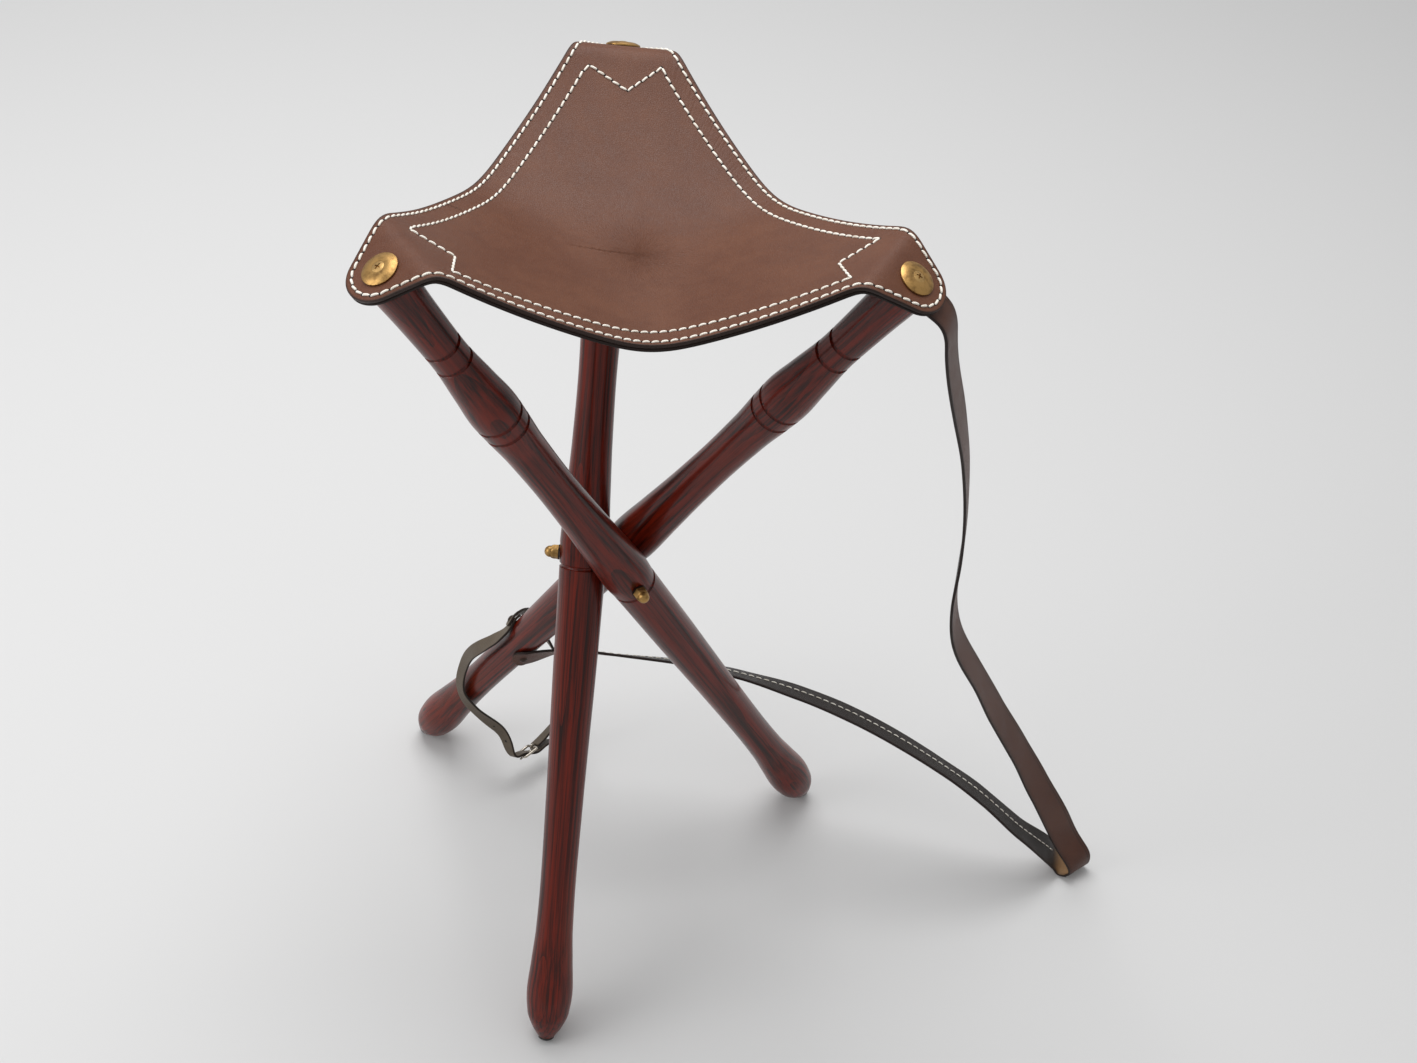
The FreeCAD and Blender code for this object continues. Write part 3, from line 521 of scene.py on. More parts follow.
@dataclass(frozen=True)
class Finish:
    """What every finish has: a name, and a material with one shader that its nodes feed."""

    name: str
    gloss = 0.5

    def start(self) -> tuple[bpy.types.Material, NodeKit, bpy.types.Node]:
        """Make the material with its shader.

        Returns:
            The material, a kit for its tree, and the shader node.
        """
        material = bpy.data.materials.new(self.name)
        material.use_nodes = True
        material.node_tree.nodes.clear()
        kit = NodeKit(material.node_tree)
        shader = kit.add("ShaderNodeBsdfPrincipled", {"Specular IOR Level": self.gloss})
        out = kit.add("ShaderNodeOutputMaterial")
        kit.link(shader.outputs["BSDF"], out.inputs["Surface"])
        return material, kit, shader

    def bump(
        self, kit: NodeKit, shader: bpy.types.Node, height: Feed, distance: float, strength: float = 1.0
    ) -> None:
        """Let a height push the shader's surface in and out by a distance in metres."""
        node = kit.add("ShaderNodeBump", {"Height": height, "Distance": distance, "Strength": strength})
        kit.link(node.outputs["Normal"], shader.inputs["Normal"])


@dataclass(frozen=True)
class VarnishedWood(Finish):
    """Dark reddish brown wood under a clear varnish, with straight grain along the leg."""

    gloss = 0.2

    dark: tuple = colour(34, 7, 3)
    warm: tuple = colour(108, 25, 6)
    light: tuple = colour(126, 44, 15)
    roughness: float = 0.34
    coat: float = 0.28
    coat_roughness: float = 0.09
    pore_depth: float = 0.00016

    def build(self) -> bpy.types.Material:
        """Make the material: growth bands, streaks and pores drawn out along the leg, under clear varnish."""
        material, kit, shader = self.start()
        place = kit.attribute("grain")
        sway = kit.noise(kit.stretched(place, (14.0, 14.0, 3.2)), 1.0, 3.0, 0.55)
        swayed = kit.add("ShaderNodeCombineXYZ", {"X": sway, "Y": sway, "Z": 0.0}).outputs["Vector"]
        moved = kit.add(
            "ShaderNodeVectorMath", {0: swayed, 1: (0.005, 0.005, 0.0), 2: place}, operation="MULTIPLY_ADD"
        )
        bands = kit.add(
            "ShaderNodeTexWave",
            {
                "Vector": moved.outputs["Vector"],
                "Scale": 70.0,
                "Distortion": 1.0,
                "Detail": 2.0,
                "Detail Scale": 0.6,
            },
            wave_type="RINGS",
            rings_direction="Z",
            wave_profile="SAW",
        )
        streaks = kit.noise(kit.stretched(place, (420.0, 420.0, 5.0)), 1.0, 4.0, 0.6)
        pores = kit.noise(kit.stretched(place, (1900.0, 1900.0, 42.0)), 1.0, 2.0, 0.6)
        wide = kit.noise(kit.stretched(place, (40.0, 40.0, 6.0)), 1.0, 3.0, 0.5)
        growth = kit.math("MULTIPLY", bands.outputs["Fac"], 0.16)
        figure = kit.math("ADD", growth, kit.math("MULTIPLY", streaks, 0.84))
        base = kit.mix(kit.ramp(figure, 0.30, 0.68), self.dark, self.warm)
        base = kit.mix(kit.math("MULTIPLY", kit.ramp(wide, 0.50, 0.80), 0.42), base, self.light)
        pore = kit.ramp(pores, 0.60, 0.70)
        base = kit.mix(kit.math("MULTIPLY", pore, 0.65), base, self.dark)
        haze = kit.math("SUBTRACT", kit.noise(place, 70.0, 3.0, 0.6), 0.5)
        rough = kit.math("ADD", self.roughness, kit.math("MULTIPLY", haze, 0.16))
        coat = {"Coat Weight": self.coat, "Coat Roughness": self.coat_roughness, "Coat IOR": 1.5}
        kit.feed(shader, {"Base Color": base, "Roughness": rough, **coat})
        height = kit.math("SUBTRACT", kit.math("MULTIPLY", streaks, 0.5), kit.math("MULTIPLY", pore, 0.5))
        self.bump(kit, shader, height, self.pore_depth, 0.55)
        return material


@dataclass(frozen=True)
class Leather(Finish):
    """A leather: its colours, its grain's size, and how deep the grain is."""

    gloss = 0.26

    group: bpy.types.NodeTree
    base: tuple
    worn: tuple
    cell_scale: float = 900.0
    roughness: float = 0.45
    depth: float = 0.00018
    cut_edge: tuple = colour(34, 22, 18)

    def grain(self, kit: NodeKit) -> bpy.types.Node:
        """Add the shared leather group with this leather's values."""
        given = {
            "Vector": kit.attribute("place"),
            "Base": self.base,
            "Worn": self.worn,
            "Cell Scale": self.cell_scale,
            "Roughness": self.roughness,
        }
        return kit.group(self.group, given)

    def marked(self, kit: NodeKit, tone: Socket, height: Socket) -> tuple[Socket, Socket]:
        """The colour and the height with the marks that only this leather has: here none.

        Args:
            kit: adds nodes to the material.
            tone: the colour so far.
            height: the height so far.

        Returns:
            The colour and the height with the marks.
        """
        return tone, height

    def build(self) -> bpy.types.Material:
        """Make the material: the shared grain, this leather's marks, and a dark cut edge by the mask."""
        material, kit, shader = self.start()
        grain = self.grain(kit)
        tone, height = self.marked(kit, grain.outputs["Color"], grain.outputs["Height"])
        edge = kit.parts(kit.attribute("edge_facts"))["Z"]
        tone = kit.mix(edge, tone, self.cut_edge)
        kit.feed(shader, {"Base Color": tone, "Roughness": grain.outputs["Roughness"]})
        self.bump(kit, shader, height, self.depth)
        return material


@dataclass(frozen=True)
class SeatLeather(Leather):
    """The seat's upper leather, with creases that run to its middle and across its rims."""

    cut_edge: tuple = colour(40, 27, 22)
    crease_depth: float = 0.0011

    def build(self) -> bpy.types.Material:
        """Make the material: grain, fine creases round the middle and along the rims, a dark cut edge."""
        material, kit, shader = self.start()
        grain = self.grain(kit)
        place = kit.attribute("seat_place")
        facts = kit.parts(kit.attribute("edge_facts"))
        radial = kit.noise(kit.stretched(place, (26.0, 7.0, 0.0)), 1.0, 3.0, 0.6)
        near_middle = kit.ramp(kit.parts(place)["Y"], 0.25, 1.3, 1.0, 0.0)
        rim = kit.noise(kit.stretched(place, (60.0, 2.5, 0.0)), 1.0, 2.0, 0.5)
        near_rim = kit.ramp(facts["X"], 0.008, 0.030, 1.0, 0.0)
        rim_creases = kit.math("MULTIPLY", kit.math("MULTIPLY", rim, near_rim), 0.6)
        creases = kit.math("ADD", kit.math("MULTIPLY", radial, near_middle), rim_creases)
        rub = kit.ramp(facts["X"], 0.0, 0.012, 1.0, 0.0)
        base = kit.mix(kit.math("MULTIPLY", rub, 0.35), grain.outputs["Color"], self.base)
        tone = kit.mix(kit.math("MULTIPLY", facts["Z"], 0.96), base, self.cut_edge)
        wide = kit.add("ShaderNodeBump", {"Height": creases, "Distance": self.crease_depth, "Strength": 0.8})
        fine = kit.add(
            "ShaderNodeBump",
            {"Height": grain.outputs["Height"], "Distance": self.depth, "Normal": wide.outputs["Normal"]},
        )
        look = {"Base Color": tone, "Roughness": grain.outputs["Roughness"], "Normal": fine.outputs["Normal"]}
        kit.feed(shader, look)
        return material


@dataclass(frozen=True)
class StrapLeather(Leather):
    """The carrying strap's leather: a tooled line, a near black back, a pale patch where it turns."""

    line_place: float = -0.70
    line_colour: tuple = colour(40, 26, 21)
    patch_start: float = 0.748
    patch_end: float = 0.800
    back_dark: tuple = colour(30, 22, 19)
    back_pale: tuple = colour(150, 118, 84)

    def marked(self, kit: NodeKit, tone: Socket, height: Socket) -> tuple[Socket, Socket]:
        """Add the line, the back and the patch by the strap's own places.

        Args:
            kit: adds nodes to the material.
            tone: the colour so far.
            height: the height so far.

        Returns:
            The colour and the height with the marks.
        """
        strap = kit.parts(kit.attribute("strap_place"))
        aside = kit.math("ABSOLUTE", kit.math("SUBTRACT", strap["X"], self.line_place))
        line = kit.ramp(aside, 0.02, 0.055, 1.0, 0.0)
        tone = kit.mix(kit.math("MULTIPLY", line, 0.55), tone, self.line_colour)
        after = kit.ramp(strap["Y"], self.patch_start - 0.012, self.patch_start + 0.004)
        before = kit.ramp(strap["Y"], self.patch_end - 0.004, self.patch_end + 0.016, 1.0, 0.0)
        back = kit.mix(kit.math("MULTIPLY", after, before), self.back_dark, self.back_pale)
        return kit.mix(strap["Z"], tone, back), kit.math("SUBTRACT", height, line)


@dataclass(frozen=True)
class HoledLeather(Leather):
    """The closing strap's leather, with painted shade in the mouths of its spare holes."""

    half_width: float = 0.006
    holes: tuple = (0.1834, 0.2050)
    hole_radius: float = 0.0011
    hole_shade_colour: tuple = colour(14, 10, 8)
    cut_edge: tuple = colour(38, 28, 22)

    def marked(self, kit: NodeKit, tone: Socket, height: Socket) -> tuple[Socket, Socket]:
        """Paint shade on and sink the leather inside each hole's circle.

        Args:
            kit: adds nodes to the material.
            tone: the colour so far.
            height: the height so far.

        Returns:
            The colour and the height with the marks.
        """
        strap = kit.parts(kit.attribute("strap_place"))
        across = kit.math("MULTIPLY", strap["X"], self.half_width)
        for place in self.holes:
            along = kit.math("SUBTRACT", strap["Y"], place)
            away = kit.add("ShaderNodeCombineXYZ", {"X": across, "Y": along}).outputs["Vector"]
            reach = kit.add("ShaderNodeVectorMath", {0: away}, operation="LENGTH").outputs["Value"]
            # A near black disc in each hole's circle is painted shade for the hole.
            hole_shade = kit.ramp(reach, self.hole_radius * 0.8, self.hole_radius * 1.15, 1.0, 0.0)
            tone = kit.mix(hole_shade, tone, self.hole_shade_colour)
            height = kit.math("SUBTRACT", height, kit.math("MULTIPLY", hole_shade, 3.0))
        return tone, height


@dataclass(frozen=True)
class Metal(Finish):
    """A metal with handling marks and fine scratches."""

    group: bpy.types.NodeTree
    bright: tuple
    dull: tuple
    roughness: float = 0.2
    scratch_depth: float = 0.00002

    def build(self) -> bpy.types.Material:
        """Make the material from the shared metal group."""
        material, kit, shader = self.start()
        place = kit.add("ShaderNodeTexCoord").outputs["Object"]
        given = {"Vector": place, "Bright": self.bright, "Dull": self.dull, "Roughness": self.roughness}
        metal = kit.group(self.group, given).outputs
        kit.feed(shader, {"Base Color": metal["Color"], "Roughness": metal["Roughness"], "Metallic": 1.0})
        self.bump(kit, shader, metal["Height"], self.scratch_depth)
        return material


@dataclass(frozen=True)
class Rubber(Finish):
    """Matte dark rubber with a dusty wear."""

    def build(self) -> bpy.types.Material:
        """Make the material: near black with a paler cloud and a fine bump."""
        material, kit, shader = self.start()
        place = kit.add("ShaderNodeTexCoord").outputs["Object"]
        dust = kit.ramp(kit.noise(place, 260.0, 4.0, 0.6), 0.5, 0.8)
        tone = kit.mix(dust, colour(24, 22, 21), colour(66, 60, 54))
        kit.feed(shader, {"Base Color": tone, "Roughness": 0.78})
        self.bump(kit, shader, kit.noise(place, 2400.0, 2.0), 0.0001)
        return material


@dataclass(frozen=True)
class Thread(Finish):
    """Waxed thread: two twisted plies."""

    pale: tuple = colour(246, 241, 230)
    shade: tuple = colour(200, 188, 168)

    def build(self) -> bpy.types.Material:
        """Make the material: bands that lean across the stitch, soiled in a cloud."""
        material, kit, shader = self.start()
        twist = kit.add(
            "ShaderNodeTexWave",
            {"Vector": kit.attribute("thread"), "Scale": 1.0, "Distortion": 0.4},
            bands_direction="DIAGONAL",
        )
        soil = kit.ramp(kit.noise(kit.attribute("place"), 90.0, 3.0), 0.45, 0.75)
        tone = kit.mix(kit.math("MULTIPLY", soil, 0.55), self.pale, self.shade)
        kit.feed(shader, {"Base Color": tone, "Roughness": 0.7})
        self.bump(kit, shader, twist.outputs["Fac"], 0.00012)
        return material


# Legs


@dataclass(frozen=True)
class TurnedLegs:
    """The three round wooden legs, each one profile turned about the leg's own axis."""

    stations: tuple = (
        -414.0, -405.0, -392.0, -374.0, -346.0, -318.0, -278.0, -198.0, -90.0, -9.0, 6.0, 46.0, 95.0,
        140.0, 185.0, 216.0, 236.0, 264.0, 305.0, 345.0, 380.8,
    )
    radii: tuple = (
        6.5, 12.3, 17.4, 19.1, 17.2, 15.3, 14.6, 15.5, 17.6, 18.7, 19.6, 17.85, 15.9,
        15.1, 15.9, 17.9, 18.8, 16.75, 14.0, 14.8, 16.3,
    )
    grooves: tuple = (-9.0, 216.0, 229.0, 296.3, 313.7)
    groove_wire: float = 1.7
    groove_stand_off: float = 0.35
    wood_top: float = 383.0
    top_rounding: float = 2.2
    nut_seat_out: float = 18.9
    nut_seat_radius: float = 6.7
    nut_seat_slope: float = 1.4
    station_step: float = 3.0
    segments: int = 120

    def profile(self) -> tuple[np.ndarray, np.ndarray]:
        """The leg's outline: the smooth turning, less a round groove at each groove's station.

        Returns:
            Stations up the leg and the radius at each.
        """
        near = [groove + np.linspace(-2.0, 2.0, 19) for groove in self.grooves]
        tip = self.stations[0] + np.array([0.0, 0.5, 1.2, 2.2, 3.5, 5.0, 7.0, 9.0, 12.0, 15.0, 18.0])
        edge = self.wood_top - self.top_rounding * (1 - np.sin(np.linspace(0.0, math.pi / 2, 9)))
        plain = np.arange(tip[-1], self.wood_top - self.top_rounding - 1.8, self.station_step)
        for groove in self.grooves:
            plain = plain[np.abs(plain - groove) > 2.2]
        stations = np.unique(np.concatenate([*near, tip, edge, plain]).round(4))
        radii = smooth_through(stations, np.array(self.stations), np.array(self.radii))
        for groove in self.grooves:
            inside = np.clip(self.groove_wire**2 - (stations - groove) ** 2, 0.0, None)
            radii = radii - np.clip(np.sqrt(inside) - self.groove_stand_off, 0.0, None)
        past = np.clip(stations - (self.wood_top - self.top_rounding), 0.0, self.top_rounding)
        radii = radii - (self.top_rounding - np.sqrt(self.top_rounding**2 - past**2))
        return stations, radii

    def build(self, corner: Corner, material: bpy.types.Material) -> bpy.types.Object:
        """Turn one leg, flatten it where its nut is seated, and let it ride.

        Args:
            corner: the corner that the leg belongs to.
            material: its varnished wood.

        Returns:
            The leg.
        """
        stations, radii = self.profile()
        angles = np.linspace(0.0, 2 * math.pi, self.segments, endpoint=False)
        x = radii[:, None] * np.cos(angles)
        y = radii[:, None] * np.sin(angles)
        z = np.repeat(stations[:, None], self.segments, axis=1)
        away = np.hypot(y, z)
        seat = self.nut_seat_out + np.clip(away - self.nut_seat_radius, 0.0, None) * self.nut_seat_slope
        x = np.where(x > 0, np.minimum(x, seat), x)
        local = np.stack([x + STANCE.stud_offset, y, z], axis=-1)
        count = len(stations)
        faces = grid_faces(count, self.segments, closed=True).tolist()
        faces.append(list(range(self.segments))[::-1])
        faces.append(list(range((count - 1) * self.segments, count * self.segments)))
        turn = {Corner.LEFT: 0.6, Corner.BACK: 2.4, Corner.RIGHT: 4.4}[corner]
        grain_x = x * math.cos(turn) - y * math.sin(turn) + 26.0
        grain_y = x * math.sin(turn) + y * math.cos(turn) + 9.0
        grain = np.stack([grain_x, grain_y, z + 1000.0 * turn], axis=-1) * MILLIMETRE
        points = STANCE.place(corner, local)
        piece = new_piece(f"turned_leg_{corner.body}", points, faces, {"grain": grain})
        dress(piece, material)
        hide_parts(f"leg_{corner.body}")
        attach(piece, corner.body)
        return piece


# Seat


@dataclass(frozen=True)
class SlingSeat:
    """The leather sling: its surface over the floor plan, and the pieces that are cut from it."""

    layer_station: float = 391.65
    tab_radius: float = 25.0
    edge_distance: float = 122.0
    lifted_edge_distance: float = 129.0
    edge_lift: float = 4.0
    edge_lift_start: float = 40.0
    edge_lift_half_width: float = 100.0
    middle_drop: float = 57.0
    edge_rise: float = 12.5
    crest_inset: float = 20.0
    crest_rounding: float = 14.0
    valley_rounding: float = 16.0
    lining_thickness: float = 2.3
    leather_thickness: float = 3.0
    layer_gap: float = 0.1
    edge_rounding: float = 0.7
    dark_rim: float = 0.9
    blend_start: float = 63.0
    blend_end: float = 178.0
    grid: int = 97

    def corner_point(self, corner: Corner) -> np.ndarray:
        """Where a leg's axis meets the plane between the two leathers."""
        return STANCE.place(corner, np.array([STANCE.stud_offset, 0.0, self.layer_station]))

    @property
    def corner_reach(self) -> float:
        """How far a corner lies from the middle on the floor plan."""
        return float(np.hypot(*self.corner_point(Corner.BACK)[:2]))

    def bearing(self, corner: Corner) -> float:
        """The bearing of a corner from the middle."""
        point = self.corner_point(corner)
        return math.atan2(point[1], point[0])

    def lower_of(self, first: np.ndarray, second: np.ndarray, width: float) -> np.ndarray:
        """The lower of two heights, less a cubic of how near they are, within a width."""
        share = np.clip(width - np.abs(first - second), 0.0, None) / width
        return np.minimum(first, second) - share**3 * width / 6

    def side_distance(self, corner: Corner, side: float) -> float:
        """How far the middle of a side lies from the seat's middle: the side from left to back is wider."""
        lifted = (corner, side) in ((Corner.BACK, 1.0), (Corner.LEFT, -1.0))
        return self.lifted_edge_distance if lifted else self.edge_distance

    def lift(self, x: np.ndarray, y: np.ndarray) -> np.ndarray:
        """How much higher the leather hangs towards the middle of the edge from left to back.

        It grows with the square of the reach towards that edge, and fades with the square of a
        parabola to both sides.
        """
        angle = self.bearing(Corner.BACK) + math.pi / 3
        reach = x * math.cos(angle) + y * math.sin(angle)
        across = -x * math.sin(angle) + y * math.cos(angle)
        span = self.lifted_edge_distance - self.edge_lift_start
        rise = np.clip(reach - self.edge_lift_start, 0.0, None) / span
        fade = np.clip(1 - (across / self.edge_lift_half_width) ** 2, 0.0, None)
        return self.edge_lift * rise**2 * fade**2

    def height(self, x: np.ndarray, y: np.ndarray) -> np.ndarray:
        """Height of the plane between the leathers.

        It is the highest of three slings, each cut off by its corner's flat tab.

        Args:
            x: places on the floor plan.
            y: places on the floor plan.

        Returns:
            The heights.
        """
        half = self.edge_distance / 2
        crest_reach = self.corner_reach - self.crest_inset
        crest = self.middle_drop + self.crest_inset * math.tan(STANCE.tilt)
        bend = (crest / crest_reach - self.edge_rise / half) / (crest_reach - half)
        start = self.edge_rise / half - bend * half
        heights = []
        for corner in Corner:
            point = self.corner_point(corner)
            up = STANCE.axes(corner)[2]
            reach = x * math.cos(self.bearing(corner)) + y * math.sin(self.bearing(corner))
            sling = start * reach + bend * reach * reach
            tab = self.middle_drop - ((x - point[0]) * up[0] + (y - point[1]) * up[1]) / up[2]
            heights.append(self.lower_of(sling, tab, self.crest_rounding))
        low, middle, high = np.sort(np.array(heights), axis=0)
        top = -self.lower_of(-high, -middle, self.valley_rounding)
        top = -self.lower_of(-top, -low, self.valley_rounding)
        return self.corner_point(Corner.BACK)[2] - self.middle_drop + top + self.lift(x, y)

    def normal(self, x: np.ndarray, y: np.ndarray) -> np.ndarray:
        """The upward direction square to the surface, from its slopes over half a millimetre."""
        step = 0.5
        slope_x = (self.height(x + step, y) - self.height(x - step, y)) / (2 * step)
        slope_y = (self.height(x, y + step) - self.height(x, y - step)) / (2 * step)
        return unit(np.stack([-slope_x, -slope_y, np.ones_like(x)], axis=-1))

    def surface(self, plan: np.ndarray, offset: np.ndarray | float) -> np.ndarray:
        """Points at a distance above the plane between the leathers, square to it.

        Args:
            plan: places on the floor plan.
            offset: the distance.

        Returns:
            The points.
        """
        x, y = plan[..., 0], plan[..., 1]
        base = np.stack([x, y, self.height(x, y)], axis=-1)
        return base + self.normal(x, y) * np.asarray(offset)[..., None]

    def edge_route(self, corner: Corner, side: float, inset: float = 0.0) -> np.ndarray:
        """The seat's edge from the middle of a side to a corner's tip, with the corner's bearing as +X.

        The side is a parabola pulled by three points, and the tab an ellipse: a circle seen from above.

        Args:
            corner: the corner that the route ends at.
            side: 1 or -1, for the side that the route lies on.
            inset: how far inside the edge the route runs.

        Returns:
            Places on the floor plan.
        """
        along = self.tab_radius * math.cos(STANCE.tilt)
        middle = self.side_distance(corner, side) * np.array([math.cos(math.pi / 3), math.sin(math.pi / 3)])
        level = np.array([math.sin(math.pi / 3), -math.cos(math.pi / 3)])
        angles = np.linspace(math.pi / 3, 0.0, 40)
        tip = np.stack(
            [self.corner_reach + along * np.cos(angles), self.tab_radius * np.sin(angles)], axis=-1
        )
        pull = middle + level * ((tip[0] - middle) @ level) / 2
        t = np.linspace(0.0, 1.0, 120)[:-1, None]
        edge = (1 - t) ** 2 * middle + 2 * t * (1 - t) * pull + t**2 * tip[0]
        route = np.concatenate([edge, tip])
        heading = unit(np.gradient(route, axis=0))
        route = route + inset * np.stack([heading[:, 1], -heading[:, 0]], axis=-1)
        return route * np.array([1.0, side])

    def kite_plan(self, corner: Corner, inset: float, count: int) -> np.ndarray:
        """A grid over a corner's third of the seat.

        Each point is the sum of two pairs of blended sides, less the blended corners.

        Args:
            corner: the corner.
            inset: how far inside the edge the grid stops.
            count: points along each side of the grid.

        Returns:
            Places on the floor plan, with the corner's bearing as +X.
        """
        near = evenly(self.edge_route(corner, -1.0, inset), count)
        far = evenly(self.edge_route(corner, 1.0, inset), count)
        a = np.linspace(0.0, 1.0, count)[:, None, None]
        b = np.linspace(0.0, 1.0, count)[None, :, None]
        sides = (1 - b) * a * near[0] + b * far[:, None, :] + (1 - a) * b * far[0] + a * near[None, :, :]
        corners = a * (1 - b) * near[0] + (1 - a) * b * far[0] + a * b * near[-1]
        return sides - corners

    def turned(self, plan: np.ndarray, corner: Corner) -> np.ndarray:
        """Places turned from a corner's own bearing to the stool's."""
        angle = self.bearing(corner)
        turn = np.array([[math.cos(angle), math.sin(angle)], [-math.sin(angle), math.cos(angle)]])
        return plan @ turn

    def layer(self, corner: Corner, bottom: float, top: float, name: str) -> bpy.types.Object:
        """One leather of one third of the seat, as a closed sheet with rounded cut edges.

        The upper and lower sheets are the grid at two offsets. Between them, the wall runs out by a
        quarter circle, straight down, and in by another.

        Args:
            corner: the corner that the third belongs to.
            bottom: the lower face's distance from the plane between the leathers.
            top: the upper face's distance from it.
            name: the object's name.

        Returns:
            The sheet.
        """
        count = self.grid
        radius = self.edge_rounding
        plan = self.turned(self.kite_plan(corner, radius, count), corner)
        outer = self.turned(self.kite_plan(corner, 0.0, count), corner)
        border = np.concatenate(
            [
                np.stack([np.arange(count), np.zeros(count, int)], axis=1)[:-1],
                np.stack([np.full(count, count - 1), np.arange(count)], axis=1)[:-1],
                np.stack([np.arange(count)[::-1], np.full(count, count - 1)], axis=1)[:-1],
                np.stack([np.zeros(count, int), np.arange(count)[::-1]], axis=1)[:-1],
            ]
        )
        rim_in = plan[border[:, 0], border[:, 1]]
        rim_out = outer[border[:, 0], border[:, 1]]
        sheets = [self.surface(plan, top), self.surface(plan, bottom)]
        rings = []
        for angle in np.linspace(0.0, math.pi / 2, 5)[1:]:
            share = math.sin(angle)
            ring = rim_in + (rim_out - rim_in) * share
            rings.append((ring, top - radius * (1 - math.cos(angle))))
        for angle in np.linspace(math.pi / 2, 0.0, 5)[:-1]:
            share = math.sin(angle)
            ring = rim_in + (rim_out - rim_in) * share
            rings.append((ring, bottom + radius * (1 - math.cos(angle))))
        wall = np.stack([self.surface(ring, height) for ring, height in rings])
        grid = count * count
        loop = len(border)
        border_index = border[:, 0] * count + border[:, 1]
        faces = grid_faces(count, count)[:, ::-1].tolist()
        faces += grid_faces(count, count, start=grid).tolist()
        first = 2 * grid
        wall_faces = grid_faces(len(rings), loop, closed=True, start=first)
        turn = np.roll(np.arange(loop), -1)
        upper = np.stack([border_index, border_index[turn], first + turn, first + np.arange(loop)], axis=1)
        last = first + (len(rings) - 1) * loop
        lower = np.stack(
            [last + np.arange(loop), last + turn, grid + border_index[turn], grid + border_index], axis=1
        )
        sides = np.concatenate([upper, wall_faces, lower])
        points = np.concatenate([sheets[0].reshape(-1, 3), sheets[1].reshape(-1, 3), wall.reshape(-1, 3)])
        flat = plan.reshape(-1, 2)
        plans = np.concatenate([flat, flat, np.tile(rim_out, (len(rings), 1))])
        wall_mask = np.concatenate([np.zeros(2 * grid), np.ones(len(rings) * loop)])
        bearing = np.arctan2(plans[:, 1], plans[:, 0])
        reach = np.hypot(plans[:, 0], plans[:, 1]) * 0.02
        facts = {
            "edge_facts": self.edge_facts(plans, corner, wall_mask),
            "seat_place": np.stack([bearing, reach, np.zeros(len(plans))], axis=-1),
        }
        piece = new_piece(name, points, faces + sides[:, ::-1].tolist(), facts, sharp=None)
        normals = unit(self.all_normals(plans, grid, rim_out - rim_in))
        piece.data.normals_split_custom_set_from_vertices(normals.tolist())
        return piece

    def all_normals(self, plans: np.ndarray, grid: int, out: np.ndarray) -> np.ndarray:
        """Shading directions: square to the sheet on its faces, and turning outwards round its cut edge.

        Args:
            plans: every point's place on the floor plan.
            grid: how many points each face of the sheet has.
            out: the way out of the leather on the floor plan, at each point of its border.

        Returns:
            The directions.
        """
        loop = len(out)
        up = self.normal(plans[:, 0], plans[:, 1])
        result = up.copy()
        result[grid : 2 * grid] *= -1
        flat = np.linalg.norm(out, axis=1, keepdims=True)
        out = np.concatenate([out / np.where(flat < 1e-9, 1.0, flat), np.zeros((loop, 1))], axis=1)
        angles = list(np.linspace(0.0, math.pi / 2, 5)[1:]) + list(np.linspace(math.pi / 2, math.pi, 5)[1:])
        for index, angle in enumerate(angles):
            start = 2 * grid + index * loop
            here = up[start : start + loop]
            result[start : start + loop] = here * math.cos(angle) + out * math.sin(angle) + here * 1e-4
        return result

    def edge_facts(self, plans: np.ndarray, corner: Corner, wall: np.ndarray) -> np.ndarray:
        """How far each point lies from the seat's edge in metres, its reach, and 1 on the cut edge."""
        distance = np.full(len(plans), 1e9)
        for side in (-1.0, 1.0):
            route = self.turned(evenly(self.edge_route(corner, side), 90), corner)
            for start in range(0, len(plans), 4000):
                part = plans[start : start + 4000]
                gaps = np.linalg.norm(part[:, None, :] - route[None, :, :], axis=-1).min(axis=1)
                distance[start : start + 4000] = np.minimum(distance[start : start + 4000], gaps)
        reach = np.hypot(plans[:, 0], plans[:, 1])
        near = np.clip(1.0 - (distance - self.edge_rounding) / self.dark_rim, 0.0, 1.0)
        cut = np.maximum(wall, near * 0.7)
        return np.stack([distance * MILLIMETRE, reach * MILLIMETRE, cut], axis=-1)

    def blend(self, piece: bpy.types.Object, corner: Corner) -> None:
        """Bake the piece's placement into its points; the corner's bearing and height are worked out but not
        used.
        """
        angle = self.bearing(corner)
        height = np.array([0.0, 0.0, self.corner_point(corner)[2]])
        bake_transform(piece)

    def build(self, upper: bpy.types.Material, lower: bpy.types.Material) -> list[bpy.types.Object]:
        """Make both leathers of all three thirds.

        Args:
            upper: the seat leather.
            lower: the lining.

        Returns:
            The pieces.
        """
        pieces = []
        half = self.layer_gap / 2
        for corner in Corner:
            sheets = (
                ("seat_leather", half, half + self.leather_thickness, upper),
                ("seat_lining", -half - self.lining_thickness, -half, lower),
            )
            for node, bottom, top, material in sheets:
                piece = self.layer(corner, bottom, top, f"{node}_{corner.body}")
                dress(piece, material)
                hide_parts(node)
                self.blend(piece, corner)
                pieces.append(piece)
        return pieces


